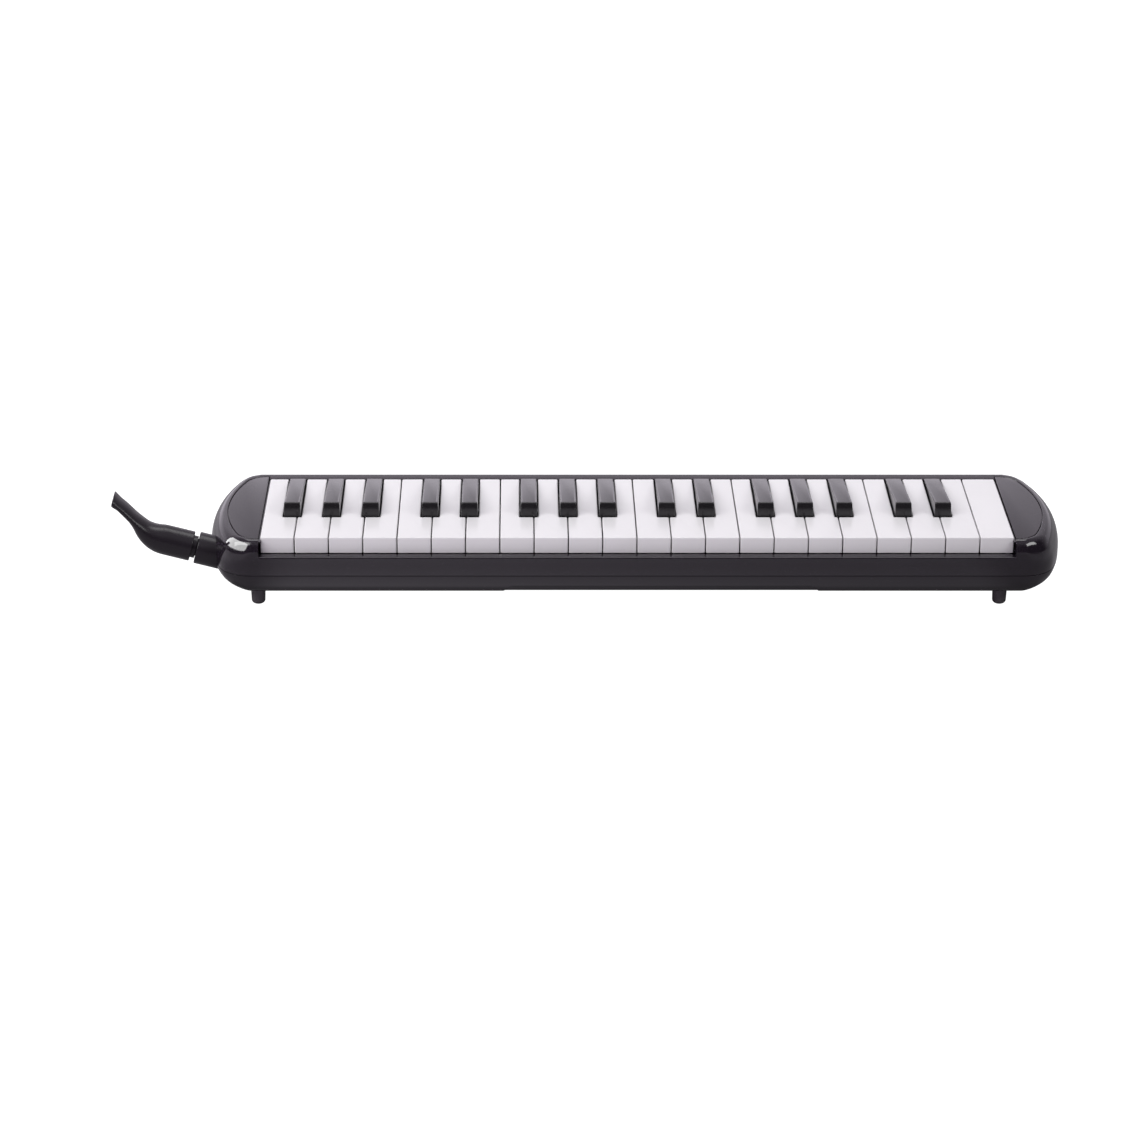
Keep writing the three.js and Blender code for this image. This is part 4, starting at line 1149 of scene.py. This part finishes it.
def keySprings():
    # bent outline of one leaf in Y and Z, carried across its width under every key, each leaf as
    # a piece with a mesh of its own
    low, high = boxOf("spring_comb")
    thick = springLook["thickness"]
    root = low[1] + springLook["strip"]
    bend = high[1] - springLook["flat"]
    lean = springLook["lean"]
    strip = roundedBox(low, (high[0], root, low[2] + thick), 0.1 * mm, 2, 2)
    makePiece("spring_strip", [strip], materials["shaftSteel"], "case", ["spring_comb"])
    outline = [
        [root, low[2] + thick], [root + lean, low[2] + thick - 0.1 * mm], [bend, high[2] - thick],
        [high[1], high[2] - thick], [high[1], high[2]], [bend - lean, high[2]],
    ]
    half = springLook["leafWidth"] / 2
    for name, centre in keyCentres.items():
        leaf = makePiece(
            name.replace("key_", "spring_leaf_"),
            [prismAlongX(outline, centre - half, centre + half)], materials["shaftSteel"],
            "case", ["spring_comb"])
        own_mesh(leaf)


def drainSpring():
    # circle of wire carried along a helix about the drain stem, with a point at either end
    low, high = boxOf("drain_spring")
    buttonLow, buttonHigh = boxOf("drain_button")
    middle = (buttonLow + buttonHigh) / 2
    wire = springLook["wire"]
    share = np.linspace(0, 1, 100)
    share = np.concatenate([share[:1], share, share[-1:]])[:, None]
    size = np.full_like(share, wire)
    size[[0, -1]] = 1e-6
    around = np.linspace(0, 2 * np.pi, 10, endpoint=False)
    turn = 2 * np.pi * springLook["turns"] * share
    reach = (high[0] - low[0]) / 2 - wire + size * np.cos(around)
    height = low[2] + wire + share * (high[2] - low[2] - 2 * wire) + size * np.sin(around)
    rings = np.stack([
        middle[0] + reach * np.cos(turn), middle[1] + reach * np.sin(turn), height], axis=-1)
    coil = makePiece(
        "drain_coil", [loft(rings)], materials["shaftSteel"], "case",
        ["drain_spring"])
    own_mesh(coil)


reedLook = {
    "longest": 40 * mm, "shortest": 18 * mm, "fromKeyBack": 4.6 * mm, "halfWidth": 1.05 * mm,
    "lower": 0.45 * mm, "upper": 0.1 * mm,  # both measured down from the plate
}


def reedTongues():
    # one thin tongue per key, shorter with each higher note, fixed at the back of its window
    parts = []
    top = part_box("reed_plate_low")[0][2]
    ordered = sorted(keyCentres.values())
    for index, centre in enumerate(ordered):
        share = index / (len(ordered) - 1)
        length = reedLook["longest"] - (reedLook["longest"] - reedLook["shortest"]) * share
        back = keyBack - reedLook["fromKeyBack"]
        half = reedLook["halfWidth"]
        parts.append(roundedBox(
            (centre - half, back - length, top - reedLook["lower"]),
            (centre + half, back, top - reedLook["upper"]), 0.1 * mm, 2, 2))
    makePiece("reed_tongues", parts, materials["reedBrass"], "case")


keySprings()
drainSpring()
reedTongues()
print("inner works ready")


stageLook = {
    "floorSeen": 1.08,  # glow of the floor as the camera sees it
    "floorLit": (0.52, 0.24),  # and as the pieces see it, at the left and at the right, as painted light
    "endShade": 0.30, "endShadeWide": 0.16,  # painted shade: dimmer floor glow beyond both ends
    "underPiece": 0.10,  # share of that glow left in the painted shadow under the object
    "shadeHalf": (0.235, 0.048), "shadeSoft": (-0.004, 0.010),
    # painted bounce light: the floor glows brighter just in front of the object
    "nearFront": 1.4,
    "floorTone": 0.20,
    "tint": (1.0, 0.94, 1.04),
    "front": 0.05, "skyline": 1.42, "back": 0.88, "overhead": 0.42, "sides": 0.5,
    "litSpan": (-0.3, 0.28), "nearSpan": (0.02, 0.06), "endStart": 0.06, "endLeast": 0.8,
    "overEnds": (-0.045, -0.005),
    # spans of direction over which the surroundings change
    "wallSpan": (-0.05, 0.55), "ceilingSpan": (0.45, 0.85), "acrossSpan": (-0.45, 0.45),
    "acrossGlow": (1.05, 0.72), "sideSpan": (0.3, 0.8), "levelSpan": (0.12, 0.27),
}


def makeFloor():
    # a pale plane whose glow is one value to the camera; to the pieces it is painted light and
    # shade:
    # it falls from left to right, is a painted shade towards the ends and a painted shadow under
    # the object, and is raised as painted bounce light just in front of it
    mesh = bpy.data.meshes.new("studio_floor")
    size = 9.0
    corners = [(-size, -size, 0), (size, -size, 0), (size, size, 0), (-size, size, 0)]
    mesh.from_pydata(corners, [], [(0, 1, 2, 3)])
    floor = bpy.data.objects.new("studio_floor", mesh)
    bpy.context.scene.collection.objects.link(floor)
    material, tree, shader = newMaterial("paleFloor")
    look = stageLook
    parts = addNode(tree, "SeparateXYZ", {"Vector": objectPlace(tree)}).outputs
    fromMiddle = mathNode(tree, "ABSOLUTE", mathNode(tree, "SUBTRACT", parts["X"], middleX))
    alongX = mathNode(tree, "SUBTRACT", fromMiddle, look["shadeHalf"][0])
    acrossY = mathNode(
        tree, "SUBTRACT", mathNode(tree, "ABSOLUTE", parts["Y"]), look["shadeHalf"][1])
    outside = mathNode(tree, "MAXIMUM", alongX, acrossY)
    shade = mapRange(tree, outside, *look["shadeSoft"], look["underPiece"], 1.0)
    lit = mapRange(tree, parts["X"], *look["litSpan"], *look["floorLit"])
    near = mapRange(tree, acrossY, *look["nearSpan"], look["nearFront"], 1.0)
    lit = mathNode(tree, "MULTIPLY", lit, near)
    beyond = mapRange(
        tree, alongX, look["endStart"], look["endShadeWide"], look["endShade"],
        look["endLeast"])
    fade = mapRange(tree, alongX, *look["overEnds"], 1.0, 0.0)
    atEnds = mathNode(tree, "MAXIMUM", fade, beyond)
    lit = mathNode(tree, "MULTIPLY", mathNode(tree, "MULTIPLY", lit, shade), atEnds)
    seen = tree.nodes.new("ShaderNodeLightPath").outputs["Is Camera Ray"]
    unseen = mathNode(tree, "SUBTRACT", 1.0, seen)
    tone = look["floorTone"]
    setInputs(tree, shader, {
        "Base Color": (tone, tone, tone, 1.0), "Roughness": 0.9, "Specular IOR Level": 0.0,
        "Emission Strength": mathNode(
            tree, "ADD", mathNode(tree, "MULTIPLY", seen, look["floorSeen"]),
            mathNode(tree, "MULTIPLY", unseen, lit)),
        "Emission Color": mixColours(tree, seen, look["tint"], (1.0, 1.0, 1.0)),
    })
    mesh.materials.append(material)


def makeWorld():
    # a pale wall behind, darkness in front and a dim ceiling, blended by direction
    world = bpy.data.worlds.new("studio")
    bpy.context.scene.world = world
    world.use_nodes = True
    tree = world.node_tree
    look = stageLook
    place = tree.nodes.new("ShaderNodeTexCoord").outputs["Generated"]
    parts = addNode(tree, "SeparateXYZ", {"Vector": place}).outputs
    behind = mapRange(tree, parts["Y"], *look["wallSpan"])
    above = mapRange(tree, parts["Z"], *look["ceilingSpan"])
    toRight = mapRange(tree, parts["X"], *look["acrossSpan"], *look["acrossGlow"])
    sideways = mathNode(tree, "ABSOLUTE", parts["X"])
    toRight = mathNode(
        tree, "MULTIPLY", toRight,
        mapRange(tree, sideways, *look["sideSpan"], 1.0, look["sides"]))
    wallGlow = mapRange(tree, parts["Z"], *look["levelSpan"], look["skyline"], look["back"])
    wall = mathNode(tree, "MULTIPLY", mathNode(tree, "MULTIPLY", behind, toRight), wallGlow)
    low = mathNode(tree, "MULTIPLY", wall, mathNode(tree, "SUBTRACT", 1.0, above))
    high = mathNode(tree, "MULTIPLY", above, look["overhead"])
    total = mathNode(tree, "ADD", mathNode(tree, "ADD", low, high), look["front"])
    setInputs(tree, tree.nodes["Background"], {
        "Color": (*look["tint"], 1.0), "Strength": total})


def makeSoftbox(name, size, location, target, power, turn=0.0, diffuse=True, glossy=True,
                tint=(1, 1, 1)):
    # looks from its place towards the target; turn rolls its long side about that line
    light = bpy.data.lights.new(name, "AREA")
    light.shape = "RECTANGLE"
    light.size, light.size_y = size
    light.energy = power
    lamp = bpy.data.objects.new(name, light)
    lamp.location = location
    direction = np.array(target) - np.array(location)
    flat = math.hypot(direction[0], direction[1])
    tilt = math.atan2(flat, -direction[2])
    heading = math.atan2(direction[1], direction[0]) - math.pi / 2
    aim = Euler((tilt, 0, heading)).to_matrix() @ Matrix.Rotation(turn, 3, "Z")
    lamp.rotation_euler = aim.to_euler()
    light.color = tint
    lamp.visible_diffuse = diffuse
    lamp.visible_glossy = glossy
    bpy.context.scene.collection.objects.link(lamp)
    return lamp


def lightOnly(lamp, names):
    # the lamp reaches no piece but the named ones
    chosen = bpy.data.collections.new(lamp.name + "_pieces")
    for name in names:
        chosen.objects.link(bpy.data.objects[name])
    lamp.light_linking.receiver_collection = chosen


cameraPlan = {
    "tiltDown": math.radians(23.0), "lens": 107.6, "sensor": 36.0, "shiftX": 0.0462,
    "fromMiddle": -66.3 * mm, "fromKeyFront": -1742.6 * mm, "aboveKeys": 720.2 * mm,
}


def makeCamera():
    # level, tilted down, and placed from the front edge of the keys
    camera = bpy.data.cameras.new("camera")
    camera.lens = cameraPlan["lens"]
    camera.sensor_width = cameraPlan["sensor"]
    camera.shift_x = cameraPlan["shiftX"]
    camera.clip_end = 50.0
    holder = bpy.data.objects.new("camera", camera)
    holder.location = (
        middleX + cameraPlan["fromMiddle"], keyFront + cameraPlan["fromKeyFront"],
        keyTop + cameraPlan["aboveKeys"])
    holder.rotation_euler = (math.pi / 2 - cameraPlan["tiltDown"], 0, 0)
    bpy.context.scene.collection.objects.link(holder)
    bpy.context.scene.camera = holder


makeFloor()
makeWorld()
makeSoftbox("left_softbox", (2.0, 0.85), (-1.5, -0.9, 1.35), (-0.1, 0, 0.03), 28.0, turn=0.6)
makeSoftbox("right_softbox", (0.85, 0.55), (1.4, -0.9, 1.05), (0.2, 0, 0.03), 11.0)
makeSoftbox("top_softbox", (1.4, 0.7), (0.0, 0.55, 1.7), (0, 0, 0.03), 12.0)
cornerLamp = makeSoftbox(
    "corner_softbox", (2.5, 1.05), (-1.5, -0.2, 0.74), (-0.15, 0, 0.03), 85.0, diffuse=False)
lightOnly(cornerLamp, ["upper_shell"])
makeSoftbox(
    "front_fill", (1.2, 0.5), (-0.6, -1.5, 0.45), (0, 0, 0.03), 3.2, glossy=False,
    tint=(1.0, 0.78, 1.06))
makeCamera()
bpy.context.scene.view_settings.view_transform = "Standard"
print("stage ready")
